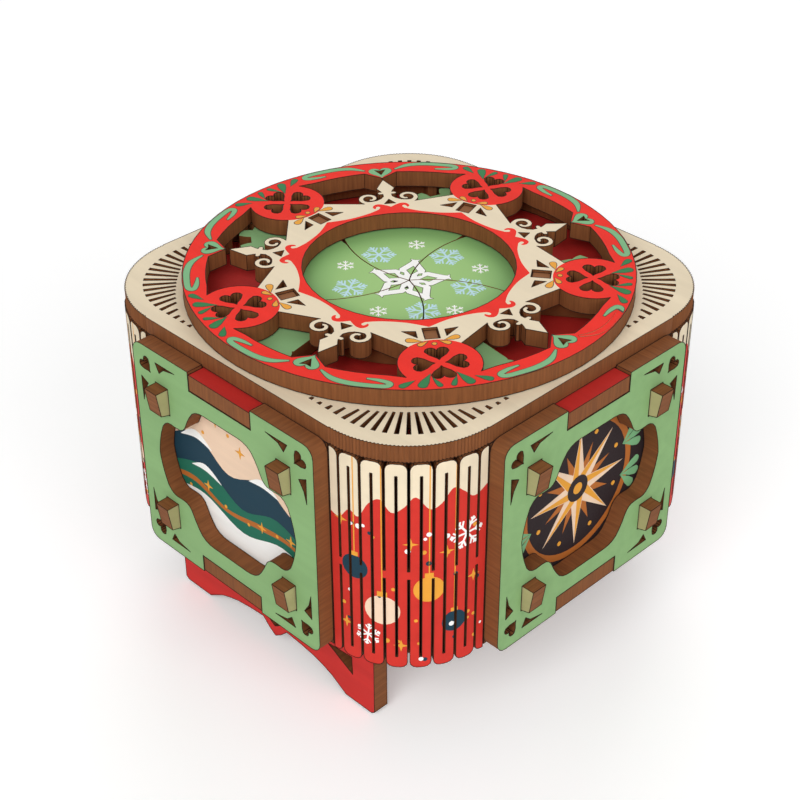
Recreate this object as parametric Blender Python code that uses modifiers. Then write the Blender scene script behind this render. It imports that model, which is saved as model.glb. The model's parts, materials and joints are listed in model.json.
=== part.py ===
"""Square wooden music box with a hand-turned iris lid, cut from thin plywood sheets.

The ring on top carries five posts. Each post is the pivot of one iris leaf, and the leaf's
toothed tail rolls in the toothed hole of the top plate, so turning the ring opens the iris.
The frame is: origin at the middle of the box on the floor, +Z up, front panel facing -Y.
"""
import bpy
import bmesh
import math
from mathutils import Matrix, Vector

MM = 0.001

# Sheets and gaps
PLY = 3.0 * MM
SEAT_GAP = 0.15 * MM
SLOT_GAP = 0.15 * MM
CUT_OVERRUN = 1.0 * MM
WELD_DISTANCE = 0.001 * MM
SHARP_ANGLE = math.radians(30.0)

# Heights of the box
LEG_HEIGHT = 17.6 * MM
ROOM_HEIGHT = 34.1 * MM
BASE_BOTTOM = LEG_HEIGHT
BASE_TOP = BASE_BOTTOM + PLY
DECK_BOTTOM = BASE_TOP + ROOM_HEIGHT
DECK_TOP = DECK_BOTTOM + PLY
PLATE_BOTTOM = DECK_TOP + SEAT_GAP
PLATE_TOP = PLATE_BOTTOM + PLY
RING_BOTTOM = PLATE_TOP + SEAT_GAP
RING_TOP = RING_BOTTOM + PLY
RETAINER_BOTTOM = DECK_BOTTOM - SEAT_GAP - PLY

# Plan of the box, which follows the ring
RING_RADIUS = 38.0 * MM
PLATE_MARGIN = 0.95 * MM
PLATE_HALF = RING_RADIUS + PLATE_MARGIN
CORNER_RADIUS_SHARE = 0.43646
CORNER_RADIUS = CORNER_RADIUS_SHARE * PLATE_HALF
CORNER_CENTRE = PLATE_HALF - CORNER_RADIUS + SEAT_GAP
FACE_SIDE_GAP = 0.2 * MM
FACE_HALF_WIDTH = CORNER_CENTRE - FACE_SIDE_GAP
FACE_BACK = PLATE_HALF + SEAT_GAP
FACE_FRONT = FACE_BACK + PLY
SIDES = ("front", "right", "back", "left")

# Turning ring and its openings, as shares of the ring's radius
RING_STEPS = 80
RING_HOLE_SHARE = 0.475
RIM_INNER_SHARE = 0.897
RIM_DIP_TIP_SHARE = 0.834
RIM_DIP_HALF_SHARE = 0.078
LOBES = 5
LOBE_STEP = 2.0 * math.pi / LOBES
LOBE_TURN = LOBE_STEP / 2.0
LOBE_CENTRE_SHARE = 0.811
LOBE_RADIUS_SHARE = 0.1745
LOBE_START_TURN = math.radians(140.0)
LOBE_END_TURN = math.radians(60.5)
LOBE_ARC_STEPS = 8
RIM_ARC_STEPS = 5
RIM_END_TURN = math.radians(10.2)
CLOVER_HEART_WIDTH_SHARE = 0.103
CLOVER_HEART_TIP_SHARE = 0.021
HEART_TURNS = tuple(math.radians(turn) for turn in (0, 28, 45, 60, 75, 92, 118, 148, 180))
ARM_FOOT_SHARE = (0.583, 0.119)
SCROLL_CENTRE_SHARE = (0.632, 0.089)
SCROLL_OUTER_SHARE = 0.055
SCROLL_SHRINK_SHARE = 0.037
SCROLL_SHRINK_POWER = 1.6
SCROLL_BAND_SHARE = 0.023
SCROLL_BAND_TAPER_SHARE = 0.005
SCROLL_START = math.radians(157.0)
SCROLL_SWEEP = math.radians(352.0)
SCROLL_STEPS = 14
FINIAL_SHARES = ((0.602, 0.085), (0.608, 0.058), (0.624, 0.036), (0.645, 0.021), (0.668, 0.020),
                 (0.669, 0.038), (0.680, 0.046), (0.690, 0.037), (0.690, 0.024), (0.700, 0.028),
                 (0.728, 0.042), (0.770, 0.022), (0.816, 0.0))
POST_SLOT_FLANK_SHARES = ((0.5545, 0.120), (0.5625, 0.061), (0.615, 0.061))
FINIAL_HOLE_SHARES = ((0.572, 0.028), (0.572, -0.028), (0.617, 0.0))
RIM_HEART_HOLE_SHARES = ((0.868, 0.0), (0.922, 0.027), (0.914, 0.0), (0.922, -0.027))

# Posts, iris leaves and gearing: 17 and 45 teeth at one module, so the pivot radius is 14 modules
LEAF_TEETH = 17
PLATE_TEETH = 45
PIVOT_RADIUS_SHARE = 0.58605
PIVOT_RADIUS = PIVOT_RADIUS_SHARE * RING_RADIUS
MODULE = 2.0 * PIVOT_RADIUS / (PLATE_TEETH - LEAF_TEETH)
LEAF_PITCH = MODULE * LEAF_TEETH / 2.0
PLATE_PITCH = MODULE * PLATE_TEETH / 2.0
PRESSURE_ANGLE = math.radians(20.0)
ADDENDUM_SHARE = 0.5
DEDENDUM_SHARE = 0.82
BACKLASH = 0.3 * MM
FLANK_STEPS = 3
LEAF_TOOTH_COUNT = 4
PLATE_TOOTH_COUNT = 4
RING_TURN = math.radians(18.0)
LEAF_THINNING = 0.2 * MM
LEAF_THICKNESS = PLY - LEAF_THINNING
LEAF_GAP = 0.22 * MM
LEAF_HUB_RADIUS = 3.0 * MM
LEAF_BLADE_REACH_SHARE = 0.985
LEAF_NECK_TURN = math.radians(22.0)
LEAF_TAIL_END_TURN = math.radians(70.5)
LEAF_ARC_STEPS = 12
LEAF_EDGE_STEPS = 12
LEAF_HUB_STEPS = 5
LEAF_HUB_END_TURN = math.radians(-150.0)
LEAF_SLOPE_START_SHARE = 0.265
POST_WIDTH = 2.2 * MM
POST_RECESS = 0.4 * MM
PIVOT_HOLE_STEPS = 16
RETAINER_WIDTH = 6.6 * MM
RETAINER_STEPS = 50
DECK_HOLE_RADIUS = RING_HOLE_SHARE * RING_RADIUS
DECK_HOLE_STEPS = 44
DECK_SLOT_GAP = 0.3 * MM
DECK_SLOT_STEPS = 5

# Top plate: scalloped corners and fans of slots
SCALLOPS = 44
SCALLOP_DEPTH = 0.22 * MM
FAN_RAYS = 13
FAN_SIDE_SLOTS = 4
FAN_EDGE_MARGIN = 3.1 * MM
FAN_OUTER_RADIUS = CORNER_RADIUS - FAN_EDGE_MARGIN
FAN_RING_GAP = 1.3 * MM
FAN_INNER_REACH = RING_RADIUS + FAN_RING_GAP
FAN_SHORTEST = 0.6 * MM
FAN_INNER_WIDTH = 0.4 * MM
FAN_OUTER_WIDTH = 0.7 * MM
PLATE_HOLE_GAP_STEP = math.radians(6.0)

# Tabs of the deck and the base, which reach out through the panels
TAB_WIDTH_SHARE = 0.3402
TAB_HALF_WIDTH = TAB_WIDTH_SHARE * FACE_HALF_WIDTH
TAB_RECESS = 0.05 * MM
CORNER_ARC_STEPS = 6

# Panel frames, as shares of the half width and half height
FRAME_RISE = 0.5 * MM
FRAME_DROP = 0.3 * MM
FRAME_CORNER = 2.0 * MM
FRAME_CORNER_STEPS = 4
WINDOW_SHARES = ((0.0, 0.662), (0.13, 0.662), (0.243, 0.658), (0.330, 0.613), (0.399, 0.502),
                 (0.442, 0.409), (0.494, 0.368), (0.570, 0.364), (0.641, 0.362), (0.711, 0.297),
                 (0.763, 0.130), (0.783, 0.0))
WINDOW_STEPS = 2
FRAME_HEART_WIDTH_SHARE = 0.1416
FRAME_HEART_SHARES = (0.853, 0.822)
FRAME_TOP_CUT_SHARES = ((0.735, 0.897), (0.506, 0.897), (0.640, 0.868), (0.695, 0.814))
FRAME_SIDE_CUT_SHARES = ((0.923, 0.686), (0.844, 0.645), (0.893, 0.560), (0.920, 0.450))

# Uprights and their pegs
UPRIGHT_PLACE_SHARE = 0.6804
UPRIGHT_PLACE = UPRIGHT_PLACE_SHARE * FACE_HALF_WIDTH
UPRIGHT_DEPTH_SHARE = 0.2311
UPRIGHT_BACK = FACE_BACK - SEAT_GAP - PLY - SEAT_GAP
UPRIGHT_INNER = UPRIGHT_BACK - UPRIGHT_DEPTH_SHARE * PLATE_HALF
PEG_HEIGHT_SHARE = 0.2445
PEG_PLACE_SHARE = 0.577
PEG_REACH = 2.35 * MM
PEG_FOOT_REACH = 1.65 * MM
PEG_FOOT_RISE = 0.42 * MM

# Flexible corner walls
WALL_RISE = 0.05 * MM
WALL_TONGUES = 7
WALL_SLOT_WIDTH = 0.4 * MM
WALL_BRIDGE = 1.6 * MM
WALL_BRIDGE_PLACE = 1.1 * MM
WALL_END_BRIDGE = 2.2 * MM
WALL_TIP_SHARE = 0.8
WALL_HALF_STEP = math.pi / 4.0 / WALL_TONGUES
WALL_TONGUE_HALF = (CORNER_RADIUS - PLY) * math.sin(WALL_HALF_STEP) - WALL_SLOT_WIDTH / 2.0
WALL_TIP_RADIUS = WALL_TIP_SHARE * WALL_TONGUE_HALF
WALL_TIP_STEPS = 3

# Leg boards, outline as shares of half length and leg height
LEG_LENGTH_SHARE = 0.647
LEG_HALF_LENGTH = LEG_LENGTH_SHARE * PLATE_HALF
LEG_INSET = 8.55 * MM
LEG_PLACE = PLATE_HALF - LEG_INSET
LEG_FOOT_SHARES = ((1.0, 0.03), (0.973, 0.0), (0.722, 0.0), (0.677, 0.040), (0.579, 0.125),
                   (0.489, 0.172), (0.400, 0.207), (0.258, 0.237), (0.124, 0.252), (0.06, 0.16),
                   (0.0, 0.100))
LEG_CUSP_HOLE_SHARES = ((-0.068, 0.291), (0.068, 0.291), (0.0, 0.225))
LEG_SIDE_HOLE_SHARES = ((0.550, 0.515), (0.789, 0.550), (0.795, 0.329))
LEG_TENON_PLACE = 15.0 * MM
LEG_TENON_HALF = 4.0 * MM
LEG_TENON_SHORT = 0.3 * MM

# Wind-up movement on the base
BED_HALF_DEPTH = 17.0 * MM
BED_LEFT = 21.5 * MM
BED_SIDE_GAP = 1.5 * MM
BED_RIGHT = UPRIGHT_INNER - BED_SIDE_GAP
BED_THICKNESS = 1.6 * MM
SMALL_GAP = 0.2 * MM
BARREL_PLACE = 10.0 * MM
BARREL_RADIUS = 9.6 * MM
BARREL_WALL = 0.8 * MM
BARREL_HEIGHT = 8.0 * MM
BARREL_STEPS = 36
CROWN_TEETH = 24
PINION_TEETH = 8
CROWN_BAND = 1.4 * MM
CROWN_RADIUS = BARREL_RADIUS - CROWN_BAND / 2.0
CROWN_THICKNESS = 0.8 * MM
CROWN_TOOTH_HEIGHT = 1.3 * MM
CROWN_SINK = 0.2 * MM
GEAR_TOOTH_FILL = 0.34
CROWN_ENGAGEMENT = 0.5 * MM
PINION_ROOT_SHARE = 0.66
PINION_THICKNESS = 1.4 * MM
SPRING_TURNS = 4
SPRING_TURN_STEPS = 12
SPRING_THICKNESS = 0.35 * MM
SPRING_INNER = 3.0 * MM
SPRING_WALL_GAP = 0.6 * MM
SPRING_OUTER = BARREL_RADIUS - BARREL_WALL - SPRING_WALL_GAP
ARBOR_RADIUS = 1.5 * MM
ARBOR_STEPS = 12
CYLINDER_RADIUS = 6.3 * MM
CYLINDER_LENGTH = 18.0 * MM
CYLINDER_STEPS = 32
PIN_SIZE = 0.4 * MM
PIN_HEIGHT = 0.6 * MM
PIN_COUNT = 18
PIN_TURN = math.radians(137.5)
SHAFT_RADIUS = 1.0 * MM
BRACKET_THICKNESS = 0.9 * MM
BRACKET_HALF_WIDTH = 3.2 * MM
GOVERNOR_TEETH = 24
GOVERNOR_WHEEL_RADIUS = 4.6 * MM
GOVERNOR_TOOTH_SHARE = 0.86
SPINDLE_RADIUS = 0.8 * MM
SPINDLE_DROP = 4.8 * MM
GOVERNOR_HEADROOM = 2.2 * MM
FAN_HALF_WIDTH = 1.45 * MM
FAN_THICKNESS = 0.5 * MM
FAN_RISE = 3.5 * MM
FAN_DROP = 1.0 * MM
COMB_TEETH = 18
COMB_TOOTH_LENGTH = 5.0 * MM
COMB_BACK_DEPTH = 5.5 * MM
COMB_THICKNESS = 0.8 * MM
COMB_SLOT_SHARE = 0.3
COMB_CLEARANCE = 0.3 * MM
SCREW_RADIUS = 1.1 * MM
SCREW_HEAD_RADIUS = 2.0 * MM
SCREW_HEAD_HEIGHT = 1.1 * MM
SCREW_SHANK = 4.0 * MM
SCREW_STEPS = 12
SCREW_INSET = 3.2 * MM
BED_SCREW_INSET = 3.0 * MM

# Winding key under the base
KEY_SPAN_HALF = 8.5 * MM
KEY_THICKNESS = 1.6 * MM
KEY_BOTTOM = 2.5 * MM
KEY_TOP = 10.5 * MM
KEY_HUB_RADIUS = 3.0 * MM
KEY_COLLAR = 2.6 * MM
KEY_FLOOR = 1.0 * MM
KEY_WAIST_SHARE = 0.45
KEY_WING_TURN = math.radians(126.0)
KEY_WING_STEPS = 6

COLOURS = {
    "red_print": ((0.84, 0.027, 0.018), 0.5, 0.0),
    "cream_print": ((0.80, 0.72, 0.52), 0.55, 0.0),
    "green_print": ((0.24, 0.44, 0.18), 0.5, 0.0),
    "leaf_print": ((0.27, 0.52, 0.19), 0.5, 0.0),
    "picture_print": ((0.85, 0.60, 0.42), 0.5, 0.0),
    "wall_print": ((0.62, 0.03, 0.025), 0.5, 0.0),
    "bare_ply": ((0.19, 0.068, 0.026), 0.7, 0.0),
    "brass": ((0.75, 0.52, 0.20), 0.3, 1.0),
    "steel": ((0.60, 0.60, 0.62), 0.3, 1.0),
    "cast_bed": ((0.45, 0.44, 0.42), 0.45, 1.0),
}

X_AXIS = Vector((1.0, 0.0, 0.0))
Y_AXIS = Vector((0.0, 1.0, 0.0))
Z_AXIS = Vector((0.0, 0.0, 1.0))


def clear_scene():
    for item in list(bpy.data.objects):
        bpy.data.objects.remove(item, do_unlink=True)


clear_scene()
BOX = bpy.data.collections.new("wooden_music_box")
CUTTERS = bpy.data.collections.new("cutters")
bpy.context.scene.collection.children.link(BOX)
bpy.context.scene.collection.children.link(CUTTERS)


def make_material(name):
    colour, roughness, metallic = COLOURS[name]
    material = bpy.data.materials.new(name)
    material.use_nodes = True
    shader = material.node_tree.nodes["Principled BSDF"]
    shader.inputs["Base Color"].default_value = (*colour, 1.0)
    shader.inputs["Roughness"].default_value = roughness
    shader.inputs["Metallic"].default_value = metallic
    return material


MATERIALS = {name: make_material(name) for name in COLOURS}


def polar(radius, turn, centre=(0.0, 0.0)):
    return (centre[0] + radius * math.cos(turn), centre[1] + radius * math.sin(turn))


def arc(radius, start, end, steps, centre=(0.0, 0.0)):
    return [polar(radius, start + (end - start) * i / steps, centre) for i in range(steps + 1)]


def circle(radius, steps, centre=(0.0, 0.0)):
    return arc(radius, 0.0, 2.0 * math.pi, steps, centre)[:-1]


def rectangle(half_x, half_y, centre=(0.0, 0.0)):
    x, y = centre
    return [(x - half_x, y - half_y), (x + half_x, y - half_y),
            (x + half_x, y + half_y), (x - half_x, y + half_y)]


def turned_points(points, turn):
    c, s = math.cos(turn), math.sin(turn)
    return [(x * c - y * s, x * s + y * c) for x, y in points]


def mirrored_y(points):
    return [(x, -y) for x, y in reversed(points)]


def scaled(points, x_size, y_size=None):
    y_size = x_size if y_size is None else y_size
    return [(x * x_size, y * y_size) for x, y in points]


def smooth(points, fine):
    """Catmull-Rom points through an open list, with fine pieces to each stretch."""
    ends = [points[0], *points, points[-1]]
    result = []
    for p0, p1, p2, p3 in zip(ends, ends[1:], ends[2:], ends[3:]):
        for i in range(fine):
            t = i / fine
            result.append(tuple(
                0.5 * (2.0 * b + (c - a) * t + (2.0 * a - 5.0 * b + 4.0 * c - d) * t * t
                       + (3.0 * b - a - 3.0 * c + d) * t ** 3)
                for a, b, c, d in zip(p0, p1, p2, p3)))
    result.append(points[-1])
    return result


def heart(tip, width, turn):
    """Heart outline whose tip is at the given point and whose lobes lie towards turn."""
    unit = width / 32.0
    half = []
    for t in HEART_TURNS:
        across = 16.0 * math.sin(t) ** 3
        along = 13.0 * math.cos(t) - 5.0 * math.cos(2.0 * t) - 2.0 * math.cos(3.0 * t) - math.cos(4.0 * t)
        half.append(((along + 17.0) * unit, across * unit))
    points = half + mirrored_y(half[1:-1])
    return [(tip[0] + x, tip[1] + y) for x, y in turned_points(points, turn)]


def axes_matrix(origin, x_dir, y_dir):
    """Matrix that stands a flat outline up: its x and y run along the two directions."""
    z_dir = x_dir.cross(y_dir)
    matrix = Matrix((x_dir, y_dir, z_dir)).transposed().to_4x4()
    matrix.translation = Vector(origin)
    return matrix


def add_object(name, mesh, matrix, material, collection=BOX):
    item = bpy.data.objects.new(name, mesh)
    item.matrix_world = matrix
    collection.objects.link(item)
    if material:
        mesh.materials.clear()
        mesh.materials.append(MATERIALS[material])
    return item


def sheet_mesh(name, loops, thickness):
    """Flat outline with holes, thickness along +Z from zero, as one closed mesh."""
    curve = bpy.data.curves.new(name, "CURVE")
    curve.dimensions = "2D"
    curve.fill_mode = "BOTH"
    curve.extrude = thickness / 2.0
    for loop in loops:
        spline = curve.splines.new("POLY")
        spline.points.add(len(loop) - 1)
        for point, (x, y) in zip(spline.points, loop):
            point.co = (x, y, 0.0, 1.0)
        spline.use_cyclic_u = True
    flat = bpy.data.objects.new(name, curve)
    bpy.context.scene.collection.objects.link(flat)
    graph = bpy.context.evaluated_depsgraph_get()
    mesh = bpy.data.meshes.new_from_object(flat.evaluated_get(graph))
    bpy.data.objects.remove(flat, do_unlink=True)
    bpy.data.curves.remove(curve)
    shape = bmesh.new()
    shape.from_mesh(mesh)
    bmesh.ops.remove_doubles(shape, verts=shape.verts, dist=WELD_DISTANCE)
    bmesh.ops.translate(shape, verts=shape.verts, vec=(0.0, 0.0, thickness / 2.0))
    bmesh.ops.recalc_face_normals(shape, faces=shape.faces)
    shape.to_mesh(mesh)
    shape.free()
    mesh.name = name
    return mesh


def sheet(name, loops, thickness, material, origin=(0.0, 0.0, 0.0), x_dir=X_AXIS, y_dir=Y_AXIS,
          collection=BOX):
    mesh = sheet_mesh(name, loops, thickness)
    return add_object(name, mesh, axes_matrix(origin, x_dir, y_dir), material, collection)


def turned(name, profile, steps, material, matrix):
    """Closed profile (radius, height) turned about the local Z axis with a Screw modifier."""
    mesh = bpy.data.meshes.new(name)
    shape = bmesh.new()
    verts = [shape.verts.new((radius, 0.0, height)) for radius, height in profile]
    pairs = list(zip(verts, verts[1:]))
    if profile[0][0] > 0.0:
        pairs.append((verts[-1], verts[0]))
    for first, second in pairs:
        shape.edges.new((first, second))
    shape.to_mesh(mesh)
    shape.free()
    item = add_object(name, mesh, matrix, material)
    screw = item.modifiers.new("turn", "SCREW")
    screw.steps = steps
    screw.render_steps = steps
    screw.use_merge_vertices = True
    screw.merge_threshold = WELD_DISTANCE
    return item


def boolean(item, cutter, operation="DIFFERENCE"):
    """Cut or join with the EXACT solver and keep the result as the item's own mesh."""
    modifier = item.modifiers.new("cut", "BOOLEAN")
    modifier.operation = operation
    modifier.solver = "EXACT"
    modifier.object = cutter
    graph = bpy.context.evaluated_depsgraph_get()
    mesh = bpy.data.meshes.new_from_object(item.evaluated_get(graph))
    item.modifiers.clear()
    item.data = mesh
    bpy.data.objects.remove(cutter, do_unlink=True)


def join_meshes(name, meshes):
    """One mesh from several closed meshes that don't touch."""
    shape = bmesh.new()
    for mesh in meshes:
        shape.from_mesh(mesh)
    joined = bpy.data.meshes.new(name)
    shape.to_mesh(joined)
    shape.free()
    return joined


def side_matrix(index):
    return Matrix.Rotation(index * math.pi / 2.0, 4, "Z")


def side_directions(index):
    """Outward and sideways directions of one side of the box; side 0 is the front, -Y."""
    turn = side_matrix(index).to_3x3()
    return turn @ -Y_AXIS, turn @ X_AXIS


# Gear teeth
def involute_turn(base, radius):
    angle = math.acos(min(1.0, base / radius))
    return math.tan(angle) - angle


def tooth(teeth, pitch, root, tip, half_thickness, turn):
    """Outline of one involute tooth, from its root on the low side to its root on the high side."""
    base = pitch * math.cos(PRESSURE_ANGLE)
    at_pitch = half_thickness / pitch + involute_turn(base, pitch)
    side = []
    for i in range(FLANK_STEPS + 1):
        radius = root + (tip - root) * i / FLANK_STEPS
        side.append((radius, at_pitch - involute_turn(base, max(radius, base))))
    low = [polar(radius, turn - half) for radius, half in side]
    high = [polar(radius, turn + half) for radius, half in reversed(side)]
    return low + high


TOOTH_HALF = math.pi * MODULE / 4.0
LEAF_ROOT = LEAF_PITCH - DEDENDUM_SHARE * MODULE
LEAF_TIP = LEAF_PITCH + ADDENDUM_SHARE * MODULE
PLATE_TOOTH_TIP = PLATE_PITCH - ADDENDUM_SHARE * MODULE
PLATE_TOOTH_ROOT = PLATE_PITCH + DEDENDUM_SHARE * MODULE
LEAF_TOOTH_STEP = 2.0 * math.pi / LEAF_TEETH
PLATE_TOOTH_STEP = 2.0 * math.pi / PLATE_TEETH


# Turning ring
def scroll_half_outline():
    """Upper half of one finial: arm foot, scroll, stem, cross-bar and spear, in ring shares."""
    outer = []
    inner = []
    for i in range(SCROLL_STEPS + 1):
        share = i / SCROLL_STEPS
        turn = SCROLL_START - SCROLL_SWEEP * share
        radius = SCROLL_OUTER_SHARE - SCROLL_SHRINK_SHARE * share ** SCROLL_SHRINK_POWER
        band = SCROLL_BAND_SHARE - SCROLL_BAND_TAPER_SHARE * share
        outer.append(polar(radius, turn, SCROLL_CENTRE_SHARE))
        inner.append(polar(max(radius - band, 0.0), turn, SCROLL_CENTRE_SHARE))
    return [ARM_FOOT_SHARE, *outer[1:], *reversed(inner[:-1]), *FINIAL_SHARES]


def ring_opening():
    """One opening of the ring, between two lobes, about the +X axis, in ring shares."""
    upper = scroll_half_outline()
    lobe_centre = polar(LOBE_CENTRE_SHARE, LOBE_TURN)
    lobe = arc(LOBE_RADIUS_SHARE, LOBE_TURN - LOBE_START_TURN, LOBE_TURN - LOBE_END_TURN,
               LOBE_ARC_STEPS, lobe_centre)
    dip_turn = math.asin(RIM_DIP_HALF_SHARE / RIM_INNER_SHARE)
    rim = arc(RIM_INNER_SHARE, LOBE_TURN - RIM_END_TURN, dip_turn, RIM_ARC_STEPS)
    lower_side = [*reversed(upper[:-1])]
    outline_up = [upper[-1], *lower_side, *lobe, *rim[1:], (RIM_DIP_TIP_SHARE, 0.0)]
    return outline_up + mirrored_y(outline_up)[1:-1]


def ring_loops():
    loops = [circle(RING_RADIUS, RING_STEPS), circle(DECK_HOLE_RADIUS, DECK_HOLE_STEPS)]
    opening = scaled(ring_opening(), RING_RADIUS)
    flank = scaled(POST_SLOT_FLANK_SHARES, RING_RADIUS)
    slot = rectangle(PLY / 2.0 + SLOT_GAP, POST_WIDTH / 2.0 + SLOT_GAP, (PIVOT_RADIUS, 0.0))
    width = CLOVER_HEART_WIDTH_SHARE * RING_RADIUS
    clover_centre = LOBE_CENTRE_SHARE * RING_RADIUS
    for i in range(LOBES):
        finial_turn = i * LOBE_STEP
        lobe_turn = finial_turn + LOBE_TURN
        loops.append(turned_points(opening, finial_turn))
        loops.append(turned_points(scaled(FINIAL_HOLE_SHARES, RING_RADIUS), finial_turn))
        loops.append(turned_points(scaled(RIM_HEART_HOLE_SHARES, RING_RADIUS), finial_turn))
        loops.append(turned_points(slot, lobe_turn))
        loops.append(turned_points(flank, lobe_turn))
        loops.append(turned_points(mirrored_y(flank), lobe_turn))
        for quarter in range(4):
            turn = quarter * math.pi / 2.0
            tip = polar(CLOVER_HEART_TIP_SHARE * RING_RADIUS, turn, (clover_centre, 0.0))
            loops.append(turned_points(heart(tip, width, turn), lobe_turn))
    return loops


def build_ring():
    sheet("turning_ring", ring_loops(), PLY, "red_print", (0.0, 0.0, RING_BOTTOM))
    slot = rectangle(PLY / 2.0 + SLOT_GAP, POST_WIDTH / 2.0 + SLOT_GAP, (PIVOT_RADIUS, 0.0))
    loops = [circle(PIVOT_RADIUS + RETAINER_WIDTH / 2.0, RETAINER_STEPS),
             circle(PIVOT_RADIUS - RETAINER_WIDTH / 2.0, RETAINER_STEPS)]
    loops += [turned_points(slot, i * LOBE_STEP + LOBE_TURN) for i in range(LOBES)]
    sheet("retaining_ring", loops, PLY, "bare_ply", (0.0, 0.0, RETAINER_BOTTOM))
    post_length = RING_TOP - POST_RECESS - RETAINER_BOTTOM
    axis = bpy.data.objects.new("ring_axis", None)
    BOX.objects.link(axis)
    for i in range(LOBES):
        turn = Matrix.Rotation(i * LOBE_STEP + LOBE_TURN, 4, "Z")
        mesh = sheet_mesh("pivot_post", [rectangle(PLY / 2.0, POST_WIDTH / 2.0)], post_length)
        place = turn @ Matrix.Translation((PIVOT_RADIUS, 0.0, RETAINER_BOTTOM))
        post = add_object(f"pivot_post_{i + 1}", mesh, place, "bare_ply")
        post.parent = axis


# Iris leaves
def leaf_outline():
    """One leaf about its own pivot; +X points away from the ring's axis."""
    axis = (-PIVOT_RADIUS, 0.0)
    neighbour = polar(PIVOT_RADIUS, -LOBE_STEP, axis)
    blade_radius = PIVOT_RADIUS - LEAF_GAP / 2.0
    edge_radius = PIVOT_RADIUS + LEAF_GAP / 2.0
    reach = LEAF_BLADE_REACH_SHARE * PIVOT_RADIUS
    corner = math.pi - 2.0 * math.asin(reach / (2.0 * PIVOT_RADIUS))
    distance = math.hypot(*neighbour)
    towards = math.atan2(neighbour[1], neighbour[0])
    opening = math.acos((blade_radius ** 2 + distance ** 2 - edge_radius ** 2)
                        / (2.0 * blade_radius * distance))
    tip_turn = towards - opening + 2.0 * math.pi
    points = arc(blade_radius, tip_turn, corner, LEAF_ARC_STEPS)
    corner_place = points[-1]
    shoulder = math.hypot(corner_place[0] - axis[0], corner_place[1])
    shoulder_turn = math.atan2(corner_place[1], corner_place[0] - axis[0])
    points += arc(shoulder, shoulder_turn, LEAF_NECK_TURN, LEAF_HUB_STEPS, axis)[1:]
    points.append(polar(LEAF_ROOT, LEAF_TAIL_END_TURN))
    for i in reversed(range(LEAF_TOOTH_COUNT)):
        outline = tooth(LEAF_TEETH, LEAF_PITCH, LEAF_ROOT, LEAF_TIP, TOOTH_HALF - BACKLASH / 2.0,
                        i * LEAF_TOOTH_STEP)
        points += reversed(outline)
    side = math.asin(LEAF_HUB_RADIUS / LEAF_ROOT)
    points.append(polar(LEAF_ROOT, -side))
    points += arc(LEAF_HUB_RADIUS, -math.pi / 2.0, LEAF_HUB_END_TURN, LEAF_HUB_STEPS)
    join_turn = math.acos((-LEAF_SLOPE_START_SHARE * PIVOT_RADIUS - neighbour[0]) / edge_radius)
    tip_place = points[0]
    end_turn = math.atan2(tip_place[1] - neighbour[1], tip_place[0] - neighbour[0])
    points += arc(edge_radius, join_turn, end_turn, LEAF_EDGE_STEPS, neighbour)[:-1]
    return points


def build_leaves():
    hole = math.hypot(PLY / 2.0, POST_WIDTH / 2.0) + SLOT_GAP
    mesh = sheet_mesh("iris_leaf", [leaf_outline(), circle(hole, PIVOT_HOLE_STEPS)], LEAF_THICKNESS)
    height = DECK_TOP + (RING_BOTTOM - DECK_TOP - LEAF_THICKNESS) / 2.0
    for i in range(LOBES):
        turn = Matrix.Rotation(i * LOBE_STEP + LOBE_TURN, 4, "Z")
        place = turn @ Matrix.Translation((PIVOT_RADIUS, 0.0, height))
        add_object(f"iris_leaf_{i + 1}", mesh.copy(), place, "leaf_print")


# Top plate, deck and base
def plate_outline():
    points = []
    for side in range(4):
        start = side * math.pi / 2.0 - math.pi / 2.0
        centre = turned_points([(PLATE_HALF - CORNER_RADIUS, CORNER_RADIUS - PLATE_HALF)],
                               side * math.pi / 2.0)[0]
        for i in range(2 * SCALLOPS + 1):
            depth = SCALLOP_DEPTH * (i % 2)
            points.append(polar(CORNER_RADIUS - depth, start + math.pi / 2.0 * i / (2 * SCALLOPS), centre))
    return points


def plate_hole():
    """Round hole whose teeth point inward at each lobe's side of the ring's travel."""
    points = []
    zone = (PLATE_TOOTH_COUNT - 1) * PLATE_TOOTH_STEP
    for lobe in range(LOBES):
        first = lobe * LOBE_STEP + LOBE_TURN - PLATE_TOOTH_STEP / 2.0
        for i in range(PLATE_TOOTH_COUNT):
            before = first + (i - 0.5) * PLATE_TOOTH_STEP
            space_half = TOOTH_HALF + BACKLASH / 2.0
            space = tooth(PLATE_TEETH, PLATE_PITCH, PLATE_TOOTH_TIP, PLATE_TOOTH_ROOT, space_half, before)
            after = tooth(PLATE_TEETH, PLATE_PITCH, PLATE_TOOTH_TIP, PLATE_TOOTH_ROOT, space_half,
                          before + PLATE_TOOTH_STEP)
            middle = len(space) // 2
            points += space[middle:] + after[:middle]
        rest_start = first + zone + PLATE_TOOTH_STEP
        rest_end = first + LOBE_STEP - PLATE_TOOTH_STEP
        rest_steps = max(1, round((rest_end - rest_start) / PLATE_HOLE_GAP_STEP))
        points += arc(PLATE_TOOTH_ROOT, rest_start, rest_end, rest_steps)
    return points


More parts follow.
